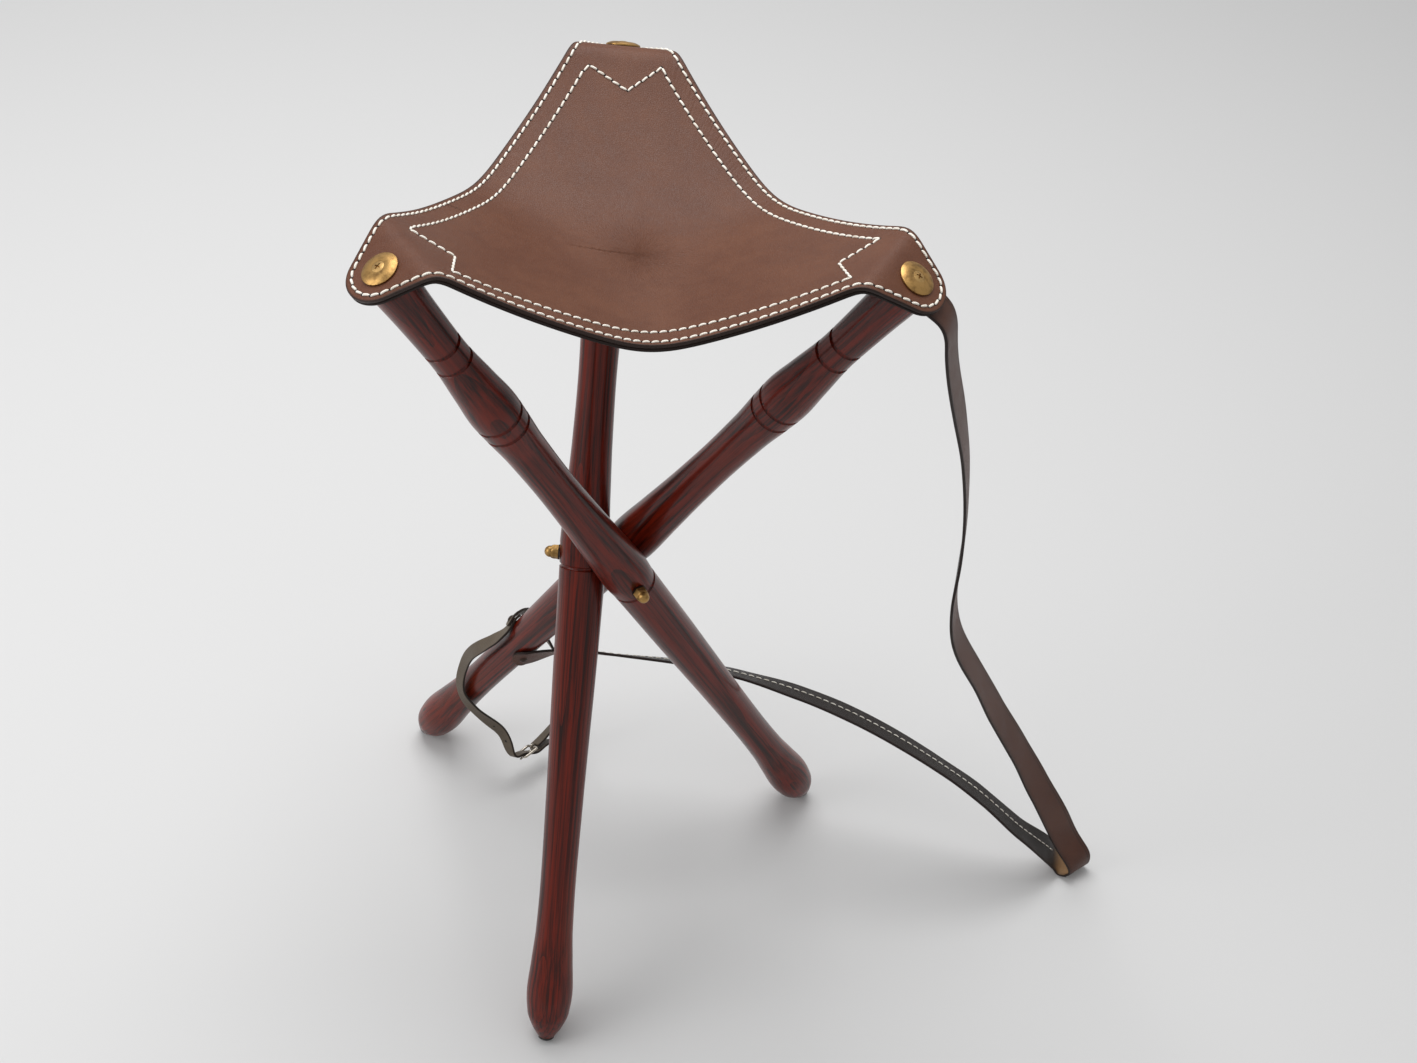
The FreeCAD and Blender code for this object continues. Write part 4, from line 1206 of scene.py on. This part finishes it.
@dataclass(frozen=True)
class Stitching:
    """Saddle stitches over the seat: each a short length of thread that dips at both ends."""

    seat: SlingSeat
    pitch: float = 6.4
    length: float = 5.6
    slant: float = math.radians(8.0)
    thread_radius: float = 0.88
    sink: float = 0.5
    outer_inset: float = 4.2
    inner_inset: float = 17.5
    point_reach: float = 166.0
    point_side: float = 27.0
    notch_reach: float = 148.0
    hole_radius: float = 1.0
    hole_depth: float = 0.3
    steps: int = 9
    sides: int = 8

    def lines(self, corner: Corner) -> list[np.ndarray]:
        """The stitched lines of a corner: one along its edge, and one further in that ends in a notch.

        Args:
            corner: the corner.

        Returns:
            The lines as places on the floor plan.
        """
        near = self.seat.edge_route(corner, -1.0, self.outer_inset)
        far = self.seat.edge_route(corner, 1.0, self.outer_inset)
        lines = [np.concatenate([near, far[::-1][1:]])]
        notch = np.array([self.notch_reach, 0.0])
        for side in (-1.0, 1.0):
            route = self.seat.edge_route(corner, side, self.inner_inset)
            inner = route[(route[:, 0] < self.point_reach - 4.0) & (np.abs(route[:, 1]) > self.point_side)]
            point = np.array([self.point_reach, side * self.point_side])
            lines.append(np.concatenate([inner, point[None, :]]))
            lines.append(np.stack([point, notch]))
        return [self.seat.turned(line, corner) for line in lines]

    def frames(self, line: np.ndarray) -> tuple[np.ndarray, np.ndarray]:
        """The middle and heading of each stitch along a line."""
        total = float(np.linalg.norm(np.diff(line, axis=0), axis=1).sum())
        count = max(2, round(total / self.pitch))
        dense = evenly(line, 2 * count + 1)
        heading = unit(dense[2::2] - dense[:-2:2])
        across = np.stack([-heading[:, 1], heading[:, 0]], axis=-1)
        return dense[1::2], heading * math.cos(self.slant) + across * math.sin(self.slant)

    def build(
        self, corner: Corner, thread: bpy.types.Material, leather: bpy.types.Material
    ) -> list[bpy.types.Object]:
        """Make one corner's stitches and the holes at their ends, with dark discs of painted shade in the
        holes.

        A stitch is a grid: along it the height is a cosine arch less a sink, and round it a circle that
        narrows at the ends.

        Args:
            corner: the corner.
            thread: the thread's material.
            leather: the material of the holes, whose dark cut-edge colour paints their shade.

        Returns:
            The pieces.
        """
        lines = [self.frames(line) for line in self.lines(corner)]
        middles, headings = [np.concatenate(part) for part in zip(*lines)]
        top = self.seat.layer_gap / 2 + self.seat.leather_thickness
        t = np.linspace(-1.0, 1.0, self.steps)
        reach = t * self.length / 2
        lift = self.thread_radius * 0.45 * np.cos(t * math.pi / 2) - self.sink * np.abs(t) ** 6
        radius = self.thread_radius * (1 - 0.45 * np.abs(t) ** 5)
        plan = middles[:, None, :] + headings[:, None, :] * reach[None, :, None]
        up = self.seat.normal(plan[..., 0], plan[..., 1])
        base = self.seat.surface(plan, top) + up * lift[None, :, None]
        ahead = unit(np.gradient(base, axis=1))
        angles, ring = circle_points(unit(np.cross(up, ahead)), up, self.sides)
        points = base[:, :, None, :] + ring * radius[None, :, None, None]
        count = len(middles)
        place = np.zeros((count, self.steps, self.sides, 3))
        place[..., 0] = reach[None, :, None] * THREAD_TURNS
        place[..., 1] = (angles / math.pi)[None, None, :]
        faces = tube_faces(count, self.steps, self.sides)
        threads = new_piece(f"seat_stitches_{corner.body}", points, faces, {"thread": place}, sharp=None)
        dress(threads, thread)
        self.seat.blend(threads, corner)
        ends = np.concatenate([plan[:, 0], plan[:, -1]])
        return [threads, self.holes(ends, corner, top, leather)]

    def holes(
        self, places: np.ndarray, corner: Corner, top: float, leather: bpy.types.Material
    ) -> bpy.types.Object:
        """Dark shallow discs of painted shade where the thread goes into the leather.

        Args:
            places: where the holes lie on the floor plan.
            corner: the corner.
            top: the leather's upper face above the plane between the leathers.
            leather: the dark material.

        Returns:
            The holes as one piece.
        """
        up = self.seat.normal(places[:, 0], places[:, 1])
        middle = self.seat.surface(places, top)
        first = unit(np.cross(up, np.array([1.0, 0.0, 0.0])))
        ring = circle_points(first, np.cross(up, first), self.sides)[1] * self.hole_radius
        heights = (0.05, -self.hole_depth)
        points = np.stack([middle[:, None, :] + ring + up[:, None, :] * height for height in heights], axis=1)
        # Every point counts as cut edge, so the discs take the leather's darkest colour as painted shade in
        # the holes.
        facts = np.zeros((len(places) * 2 * self.sides, 3))
        facts[:, 2] = 1.0
        faces = tube_faces(len(places), 2, self.sides)
        name = f"seat_stitch_holes_{corner.body}"
        piece = new_piece(name, points, faces, {"edge_facts": facts}, sharp=None)
        dress(piece, leather)
        self.seat.blend(piece, corner)
        return piece


# Straps


@dataclass
class FlatStrap:
    """A flat strap along a smooth route, with rounded edges and, where it shows, a rounded tip."""

    name: str
    node: str
    slot: str
    width: float
    thickness: float
    points: list
    looks: list
    edge_rounding: float = 0.8
    round_start: bool = False
    round_end: bool = False
    step: float = 2.5
    stitch_radius: float = 0.55
    stitch_share: float = 0.36
    least_width: float = 0.06
    route: tuple = field(init=False)

    def __post_init__(self) -> None:
        """Work out the spline through the strap's points."""
        points = np.array(self.points, dtype=float)
        marks, bends = spline_through(points)
        self.route = (points, marks, bends)

    def frames(self, values: np.ndarray) -> tuple[np.ndarray, np.ndarray, np.ndarray, np.ndarray]:
        """The strap's middle, heading, side and outer direction at places along it.

        The outer direction is blended between the given looks by a smooth step, then made square to
        the heading.

        Args:
            values: places along the spline.

        Returns:
            Four arrays of vectors.
        """
        points, marks, bends = self.route
        middle, heading = spline_at(values, points, marks, bends)
        looks = unit(np.array(self.looks, dtype=float))
        index = np.clip(np.searchsorted(marks, values, side="right") - 1, 0, len(marks) - 2)
        part = ((values - marks[index]) / (marks[index + 1] - marks[index]))[:, None]
        part = part * part * (3 - 2 * part)
        look = unit(looks[index] * (1 - part) + looks[index + 1] * part)
        side = unit(np.cross(heading, look))
        return middle, heading, side, np.cross(side, heading)

    def section(self) -> tuple[np.ndarray, np.ndarray]:
        """The strap's cross-section: a flat box whose long edges are rounded by four quarter circles.

        Returns:
            The points' distances aside and outwards from the strap's middle, going round once.
        """
        radius = min(self.edge_rounding, self.thickness * 0.48)
        half = self.thickness / 2
        arcs = []
        for x, y, begin in ((1, 1, 0.0), (-1, 1, 0.5), (-1, -1, 1.0), (1, -1, 1.5)):
            angles = math.pi * (begin + np.linspace(0.0, 0.5, 5))
            aside = x * (self.width / 2 - radius) + radius * np.cos(angles)
            arcs.append([aside, y * (half - radius) + radius * np.sin(angles)])
        flat = np.linspace(0.7, -0.7, 5) * self.width / 2
        upper, lower = [flat, np.full(5, half)], [-flat, np.full(5, -half)]
        across, up = np.concatenate([arcs[0], upper, arcs[1], arcs[2], lower, arcs[3]], axis=1)
        return across, up

    def values(self) -> np.ndarray:
        """Places along the strap, a few millimetres apart and closer at a rounded tip."""
        total = self.route[1][-1]
        values = np.linspace(0.0, total, int(total / self.step) + 1)
        close = self.width / 2 * (1 - np.cos(np.linspace(0.0, math.pi / 2, 12)))
        if self.round_start:
            values = np.concatenate([close[1:], values[values > self.width / 2 + 1]])
        if self.round_end:
            plain = values[values < total - self.width / 2 - 1]
            values = np.concatenate([plain, total - close[::-1][:-1]])
        return values

    def narrowing(self, values: np.ndarray) -> np.ndarray:
        """The share of its width that the strap has at each place: a half circle at a rounded tip."""
        share = np.ones_like(values)
        half = self.width / 2
        if self.round_start:
            past = np.clip(values / half, 0, 1)
            share = np.minimum(share, np.sqrt(np.clip(1 - (1 - past) ** 2, 0, 1)))
        if self.round_end:
            left = np.clip((self.route[1][-1] - values) / half, 0, 1)
            share = np.minimum(share, np.sqrt(np.clip(1 - (1 - left) ** 2, 0, 1)))
        return np.maximum(share, self.least_width)

    def build(self, material: bpy.types.Material) -> bpy.types.Object:
        """Carry the section along the route.

        Args:
            material: the strap's leather.

        Returns:
            The strap.
        """
        values = self.values()
        middle, _, side, out = self.frames(values)
        across, up = self.section()
        width = self.narrowing(values)[:, None] * across[None, :]
        points = middle[:, None, :] + side[:, None, :] * width[..., None]
        points = points + out[:, None, :] * up[None, :, None]
        count, loop = len(values), len(across)
        faces = grid_faces(count, loop, closed=True)[:, ::-1].tolist()
        faces += [list(range(loop)), list(range((count - 1) * loop, count * loop))[::-1]]
        facts = np.zeros((count, loop, 3))
        facts[..., 0] = width * MILLIMETRE
        facts[..., 1] = values[:, None] * MILLIMETRE
        near = np.abs(across) / (self.width / 2)
        facts[..., 2] = np.clip((near - 0.90) / 0.08, 0.0, 1.0)[None, :]
        back = (up < -self.thickness * 0.3).astype(float)
        strap = np.zeros((count, loop, 3))
        strap[..., 0] = width / (self.width / 2)
        strap[..., 1] = values[:, None] * MILLIMETRE
        strap[..., 2] = back[None, :]
        piece = new_piece(self.name, points, faces, {"edge_facts": facts, "strap_place": strap}, sharp=None)
        dress(piece, material)
        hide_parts(self.node)
        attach(piece, "right")
        return piece

    def stitches(
        self, name: str, thread: bpy.types.Material, span: tuple[float, float], across: float, pitch: float
    ) -> bpy.types.Object:
        """A row of stitches along the strap's inner face.

        Args:
            name: the piece's name.
            thread: the thread's material.
            span: where the row starts and ends along the strap.
            across: how far from the strap's middle line it runs.
            pitch: the distance from stitch to stitch.

        Returns:
            The row.
        """
        start, end = span
        count = int((end - start) / pitch)
        steps, sides = 7, 6
        t = np.linspace(-1.0, 1.0, steps)
        centres = start + (np.arange(count) + 0.5) * pitch
        values = (centres[:, None] + t[None, :] * pitch * self.stitch_share).ravel()
        middle, _, side, out = self.frames(values)
        arch = np.tile(0.22 * np.cos(t * math.pi / 2) - 0.35 * np.abs(t) ** 6, count)[:, None]
        centre = middle + side * across - out * (self.thickness / 2 + arch)
        angles, ring = circle_points(side, out, sides)
        points = centre[:, None, :] + ring * self.stitch_radius
        place = np.zeros((len(values), sides, 3))
        place[..., 0] = values[:, None] * THREAD_TURNS
        place[..., 1] = (angles / math.pi)[None, :]
        piece = new_piece(name, points, tube_faces(count, steps, sides), {"thread": place}, sharp=None)
        dress(piece, thread)
        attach(piece, "right")
        return piece


def beside_leg(x: float, y: float, station: float) -> tuple:
    """A point beside the right leg: x out from its axis along its arm, y over it, and a station up it."""
    return tuple(STANCE.place(Corner.RIGHT, np.array([STANCE.stud_offset + x, y, station])))


def leg_look(x: float, y: float, z: float) -> tuple:
    """A direction given in the right leg's own axes."""
    return tuple(np.array([x, y, z]) @ STANCE.axes(Corner.RIGHT))


@dataclass(frozen=True)
class CarryStrap:
    """The long carrying strap, from under the right corner to the floor and back to the right leg."""

    width: float = 28.0
    thickness: float = 2.4
    sheet_gap: float = 0.35
    end_station: float = -205.0
    end_angle: float = math.radians(228.0)
    leg_radius: float = 15.5
    leg_gap: float = 0.4
    corner_height: float = 383.0 + 6.0
    stitched_stops: tuple = (23, 33)
    stitch_line: float = -2.0
    stitch_pitch: float = 7.0

    def build(self, leather: bpy.types.Material, thread: bpy.types.Material) -> list[bpy.types.Object]:
        """Make the strap and its row of stitches.

        Args:
            leather: the strap's leather.
            thread: the thread.

        Returns:
            The pieces.
        """
        flat = self.corner_height - self.sheet_gap - self.thickness / 2
        gap = self.leg_radius + self.thickness / 2 + self.leg_gap
        up = leg_look(0, 0, 1)

        def under_corner(distance: float, drop: float) -> tuple:
            """A point on the straight line that the strap follows under the corner of the seat."""
            return beside_leg(0.25 * distance, -0.968 * distance, flat - drop)

        def round_leg(degrees: float, rise: float) -> tuple:
            """A point where the strap's end lies round the leg, and the way its outer face looks."""
            angle = self.end_angle + math.radians(degrees)
            point = beside_leg(gap * math.cos(angle), gap * math.sin(angle), self.end_station + rise)
            return point, leg_look(math.cos(angle), math.sin(angle), 0)

        stops = [
            (under_corner(-13, 0), up),
            (under_corner(-6.5, 0), up),
            (under_corner(0, 0), up),
            (under_corner(6.5, 0), up),
            (under_corner(13, 0), up),
            (under_corner(21, 0.1), up),
            (under_corner(31, 1.6), leg_look(0.1, -0.25, 0.95)),
            ((216, -80, 655), (0.85, -0.35, 0.40)),
            ((233, -60, 590), (0.92, -0.30, 0.25)),
            ((250, -40, 530), (0.96, -0.20, 0.18)),
            ((264, -24, 460), (0.98, -0.15, 0.15)),
            ((270, -18, 405), (0.98, -0.15, 0.08)),
            ((272, -19, 362), (0.97, -0.20, 0.10)),
            ((281, -17, 322), (0.93, -0.25, 0.25)),
            ((306, -8, 272), (0.89, -0.27, 0.38)),
            ((334, 2, 218), (0.83, -0.40, 0.40)),
            ((364, 10, 165), (0.79, -0.47, 0.40)),
            ((392, 13, 115), (0.66, -0.63, 0.40)),
            ((420, 14, 66), (0.52, -0.76, 0.36)),
            ((439, 12, 34), (0.55, -0.70, 0.40)),
            ((450, 8, 15), (0.64, -0.74, 0.10)),
            ((447, 12, 4), (0.20, -0.30, -0.93)),
            ((437, 18, 5), (-0.20, 0.25, -0.95)),
            ((424, 17, 19), (-0.55, 0.30, -0.78)),
            ((386, 11, 57), (-0.60, 0.00, -0.80)),
            ((347, 17, 90), (-0.60, -0.10, -0.78)),
            ((309, 24, 115), (-0.52, -0.20, -0.80)),
            ((265, 33, 138), (-0.42, -0.22, -0.88)),
            ((219, 45, 154), (-0.32, -0.25, -0.91)),
            ((173, 56, 164), (-0.22, -0.33, -0.92)),
            ((119, 68, 169), (-0.15, -0.50, -0.85)),
            ((73, 75, 171), (-0.12, -0.62, -0.77)),
            ((-7, 72, 178), (-0.05, -0.72, -0.69)),
            ((-38, 67, 183), (0.10, -0.74, -0.66)),
            round_leg(8, 1.1),
            round_leg(0, 0),
            round_leg(-9, -1.2),
            round_leg(-18, -2.4),
            round_leg(-30, -4),
        ]
        strap = FlatStrap(
            "carrying_strap",
            "carry_strap",
            "strap_leather",
            self.width,
            self.thickness,
            [point for point, look in stops],
            [look for point, look in stops],
            round_start=True,
            round_end=True,
        )
        marks = strap.route[1]
        span = (marks[self.stitched_stops[0]], marks[self.stitched_stops[1]] - 2)
        row = strap.stitches("carrying_strap_stitches", thread, span, self.stitch_line, self.stitch_pitch)
        return [strap.build(leather), row]


@dataclass(frozen=True)
class ClosingStrap:
    """The short strap that closes the folded stool, in two halves that meet in a buckle."""

    width: float = 12.0
    thickness: float = 2.2
    leg_radius: float = 15.5
    screw_station: float = -188.0
    screw_angle: float = math.radians(100.0)
    wire: float = 1.2
    buckle_length: float = 15.0
    buckle_middle: tuple = (-69.1, 84.5, 26.8)
    buckle_along: tuple = (0.65, 0.75, 0.1)
    buckle_out: tuple = (0.459, -0.286, -0.838)

    def buckle_axes(self) -> np.ndarray:
        """The buckle's axes, one in each row: along the strap, across it and out of its face."""
        along = unit(np.array(self.buckle_along))
        out = np.array(self.buckle_out)
        out = unit(out - along * (out @ along))
        return np.array([along, np.cross(out, along), out])

    def at_buckle(self, x: float, y: float, z: float) -> tuple:
        """A point in the buckle's own axes."""
        return tuple(np.array(self.buckle_middle) + np.array([x, y, z]) @ self.buckle_axes())

    def buckle_look(self, x: float, y: float, z: float) -> tuple:
        """A direction in the buckle's own axes."""
        return tuple(np.array([x, y, z]) @ self.buckle_axes())

    def round_screw(self, radius: float, degrees: float, rise: float) -> tuple:
        """A point where a strap lies round the leg near its screw, and the way its outer face looks."""
        angle = self.screw_angle + math.radians(degrees)
        point = beside_leg(radius * math.cos(angle), radius * math.sin(angle), self.screw_station + rise)
        return point, leg_look(math.cos(angle), math.sin(angle), 0)

    def build(self, leather: bpy.types.Material) -> list[bpy.types.Object]:
        """Make both halves.

        Args:
            leather: the strap's leather.

        Returns:
            The pieces.
        """
        upper = self.leg_radius + self.thickness / 2 + 0.65
        bar = self.buckle_length / 2
        under = -(self.wire + self.thickness / 2 + 0.3)
        over = self.wire + self.thickness * 1.5 + 0.6
        flat = self.buckle_look(0, 0, 1)
        stops = [
            self.round_screw(upper, -19, 5.7),
            self.round_screw(upper, -9.5, 2.8),
            self.round_screw(upper, 0, 0),
            self.round_screw(upper, 9.5, -2.8),
            (beside_leg(-10.5, 15.6, -196.5), leg_look(-0.35, 0.93, 0.1)),
            (beside_leg(-17, 17.5, -211), leg_look(-0.6, 0.78, 0)),
            (beside_leg(-19.8, 21.5, -233), leg_look(-0.83, 0.54, -0.14)),
            ((-129, 84, 135), (-0.82, -0.55, 0.10)),
            ((-131.3, 80.8, 111.5), (-0.75, -0.62, 0.10)),
            ((-120.3, 79.8, 86.5), (-0.40, -0.90, -0.15)),
            ((-100, 84, 60), (-0.10, -0.98, -0.10)),
            ((-88, 82, 42), (-0.28, -0.92, -0.28)),
            (self.at_buckle(-bar - 5, 0, under - 1.0), (-0.04, -0.69, -0.72)),
            (self.at_buckle(-bar, 0, under), flat),
            (self.at_buckle(0, 0, (under + over) / 2), self.buckle_look(-0.35, 0, 0.94)),
            (self.at_buckle(bar, 0, over), flat),
            (self.at_buckle(bar + 9, 0, over), flat),
            (self.at_buckle(bar + 20, 0, over + 1), self.buckle_look(-0.1, 0, 1)),
        ]
        holed = self.half("closing_strap_holed_half", "closing_strap", stops, True)
        inner = self.leg_radius + self.thickness * 1.5 + 1.4
        fold = self.wire + 0.1 + self.thickness
        stops = [
            self.round_screw(inner, 20, 0),
            self.round_screw(inner, 10, 0),
            self.round_screw(inner, 0, 0),
            self.round_screw(inner, -10, 0),
            self.round_screw(inner, -20, -0.5),
            (beside_leg(16, 17.5, -194), leg_look(0.5, 0.85, 0)),
            (beside_leg(28, 8, -205), leg_look(0.85, 0.5, 0.1)),
            ((-62, 104, 170), (0.75, 0.65, 0.10)),
            ((-45, 108, 130), (0.90, 0.40, 0.10)),
            ((-36, 108, 95), (0.95, 0.10, 0.00)),
            ((-36, 107, 70), (0.93, 0.05, -0.20)),
            ((-43, 107, 48), (0.85, 0.10, -0.45)),
            ((-50.5, 105.5, 35), (0.70, -0.05, -0.70)),
            (self.at_buckle(bar + 14, 0, -1.2), self.buckle_look(0.15, 0, 1)),
            (self.at_buckle(bar + fold - 0.4, 0, 0), flat),
        ]
        plain = self.half("closing_strap_buckled_half", "closing_strap_buckle_end", stops, False)
        return [holed.build(leather), plain.build(leather)]

    def half(self, name: str, node: str, stops: list, tipped: bool) -> FlatStrap:
        """One half of the strap, with a rounded tip or without."""
        return FlatStrap(
            name,
            node,
            "closing_leather",
            self.width,
            self.thickness,
            [point for point, look in stops],
            [look for point, look in stops],
            edge_rounding=0.6,
            round_start=True,
            round_end=tipped,
            step=1.5,
        )


# Stage


@dataclass(frozen=True)
class Softbox:
    """A square soft light: where it hangs and what it looks at, in metres, and its size and power."""

    name: str
    place: tuple
    target: tuple
    size: float
    power: float

    def build(self) -> None:
        """Hang the light."""
        data = bpy.data.lights.new(self.name, "AREA")
        data.shape = "SQUARE"
        data.size = self.size
        data.energy = self.power
        light = bpy.data.objects.new(self.name, data)
        light.location = self.place
        view = Vector(self.target) - Vector(self.place)
        light.rotation_euler = view.to_track_quat("-Z", "Y").to_euler()
        bpy.context.scene.collection.objects.link(light)


@dataclass(frozen=True)
class Studio:
    """The pale floor, the soft lights and the camera at the photograph's place."""

    camera_point: tuple = (12.25, -1162.4, 1431.1)
    heading: float = math.radians(2.96)
    down: float = math.radians(41.63)
    roll: float = math.radians(6.68)
    focal: float = 1978.7
    image_width: float = 1417.0
    sensor: float = 36.0
    floor_reach: float = 40.0
    floor_shade: float = 0.66
    sky: float = 0.52
    softboxes: tuple = (
        Softbox("top_softbox", place=(-0.2, 0.7, 2.6), target=(0.0, 0.0, 0.4), size=1.8, power=46.0),
        Softbox("side_softbox", place=(-2.2, -0.6, 1.6), target=(0.0, 0.0, 0.3), size=1.4, power=20.0),
    )

    def camera(self) -> bpy.types.Object:
        """Place the camera: its right and up directions are turned about the view by the roll."""
        forward = np.array(
            [
                math.sin(self.heading) * math.cos(self.down),
                math.cos(self.heading) * math.cos(self.down),
                -math.sin(self.down),
            ]
        )
        right = unit(np.cross(forward, [0.0, 0.0, 1.0]))
        up = np.cross(right, forward)
        rolled_right = math.cos(self.roll) * right + math.sin(self.roll) * up
        rolled_up = -math.sin(self.roll) * right + math.cos(self.roll) * up
        data = bpy.data.cameras.new("camera")
        data.sensor_fit = "HORIZONTAL"
        data.sensor_width = self.sensor
        data.lens = self.sensor * self.focal / self.image_width
        data.clip_start = 0.05
        data.clip_end = 60.0
        camera = bpy.data.objects.new("camera", data)
        place = (np.array(self.camera_point) + ORIGIN_SHIFT) * MILLIMETRE
        camera.matrix_world = Matrix.Translation(Vector(place)) @ Matrix(
            [rolled_right, rolled_up, -forward]
        ).transposed().to_4x4()
        bpy.context.scene.collection.objects.link(camera)
        bpy.context.scene.camera = camera
        return camera

    def floor(self) -> bpy.types.Object:
        """A wide pale floor."""
        reach, shade = self.floor_reach, self.floor_shade
        mesh = bpy.data.meshes.new("studio_floor")
        corners = [(-reach, -reach, 0), (reach, -reach, 0), (reach, reach, 0), (-reach, reach, 0)]
        mesh.from_pydata(corners, [], [(0, 1, 2, 3)])
        floor = bpy.data.objects.new("studio_floor", mesh)
        bpy.context.scene.collection.objects.link(floor)
        material = bpy.data.materials.new("studio_paper")
        material.use_nodes = True
        shader = material.node_tree.nodes["Principled BSDF"]
        look = {"Base Color": (shade, shade, shade, 1.0), "Roughness": 0.9, "Specular IOR Level": 0.1}
        NodeKit(material.node_tree).feed(shader, look)
        mesh.materials.append(material)
        return floor

    def build(self) -> None:
        """Set up the whole stage."""
        self.camera()
        self.floor()
        world = bpy.data.worlds.new("studio")
        world.use_nodes = True
        light = {"Color": (1.0, 1.0, 1.0, 1.0), "Strength": self.sky}
        NodeKit(world.node_tree).feed(world.node_tree.nodes["Background"], light)
        bpy.context.scene.world = world
        for softbox in self.softboxes:
            softbox.build()
        bpy.context.scene.view_settings.view_transform = "Standard"


class StickSeat:
    """The whole stool: its finishes and its pieces, built in order."""

    def __init__(self) -> None:
        """Make the finishes."""
        hide = leather_group()
        self.wood = VarnishedWood("varnished_wood").build()
        self.seat_leather = SeatLeather(
            "seat_leather",
            hide,
            base=colour(92, 54, 37),
            worn=colour(108, 68, 48),
            cell_scale=760.0,
            roughness=0.44,
            depth=0.00012,
        ).build()
        self.lining = Leather(
            "seat_lining",
            hide,
            base=colour(70, 50, 40),
            worn=colour(96, 74, 60),
            cell_scale=600.0,
            roughness=0.7,
            depth=0.0003,
        ).build()
        self.strap = StrapLeather(
            "strap_leather",
            hide,
            base=colour(74, 42, 30),
            worn=colour(92, 58, 44),
            cell_scale=1000.0,
            roughness=0.42,
            depth=0.0002,
        ).build()
        self.closing = HoledLeather(
            "closing_leather",
            hide,
            base=colour(86, 76, 64),
            worn=colour(104, 92, 78),
            cell_scale=1000.0,
            roughness=0.5,
            depth=0.0001,
        ).build()
        handled = scratch_group()
        metals = (
            Metal("polished_brass", handled, colour(184, 146, 90), colour(126, 96, 58), roughness=0.3),
            Metal("aged_brass", handled, colour(196, 160, 104), colour(134, 104, 64), roughness=0.3),
            Metal("dark_steel", handled, colour(74, 62, 56), colour(46, 38, 34), roughness=0.34),
            Metal("bolt_steel", handled, colour(180, 178, 174), colour(120, 116, 110), roughness=0.3),
            Metal("buckle_metal", handled, colour(190, 182, 170), colour(110, 100, 88), roughness=0.22),
        )
        self.metals = {metal.name: metal.build() for metal in metals}
        self.rubber = Rubber("foot_rubber").build()
        self.thread = Thread("waxed_thread").build()

    def dress_fittings(self) -> None:
        """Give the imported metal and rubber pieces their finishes."""
        finishes = {
            "corner_spacer": self.metals["polished_brass"],
            "corner_washer": self.metals["polished_brass"],
            "corner_screw": self.metals["aged_brass"],
            "dome_nut": self.metals["polished_brass"],
            "pivot_washer": self.metals["dark_steel"],
            "foot_pad": self.rubber,
        }
        for kind, finish in finishes.items():
            for corner in Corner:
                dress_node(f"{kind}_{corner.body}", finish)
        dress_node("centre_bolt", self.metals["bolt_steel"])
        for node in ("carry_strap_screw", "closing_strap_screw"):
            dress_node(node, self.metals["dark_steel"])
        for node in ("buckle_frame", "buckle_prong"):
            dress_node(node, self.metals["buckle_metal"])

    def build(self) -> None:
        """Build every piece in order and report each."""
        pieces: list[bpy.types.Object] = []
        legs = TurnedLegs()
        pieces += [legs.build(corner, self.wood) for corner in Corner]
        seat = SlingSeat()
        pieces += seat.build(self.seat_leather, self.lining)
        stitching = Stitching(seat)
        for corner in Corner:
            pieces += stitching.build(corner, self.thread, self.lining)
        pieces += CarryStrap().build(self.strap, self.thread)
        pieces += ClosingStrap().build(self.closing)
        self.dress_fittings()
        for piece in pieces:
            log.info("%s: %d faces", piece.name, len(piece.data.polygons))


def write_sizes() -> None:
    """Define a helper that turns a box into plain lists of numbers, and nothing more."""

    def plain(box: tuple) -> list:
        """A box as plain lists of numbers."""
        return [[float(value) for value in corner] for corner in box]


def main() -> None:
    """Build the stage and the stool."""
    logging.basicConfig(level=logging.INFO, format="%(name)s %(message)s")
    Studio().build()
    StickSeat().build()
    write_sizes()


if __name__ == "__main__":
    main()
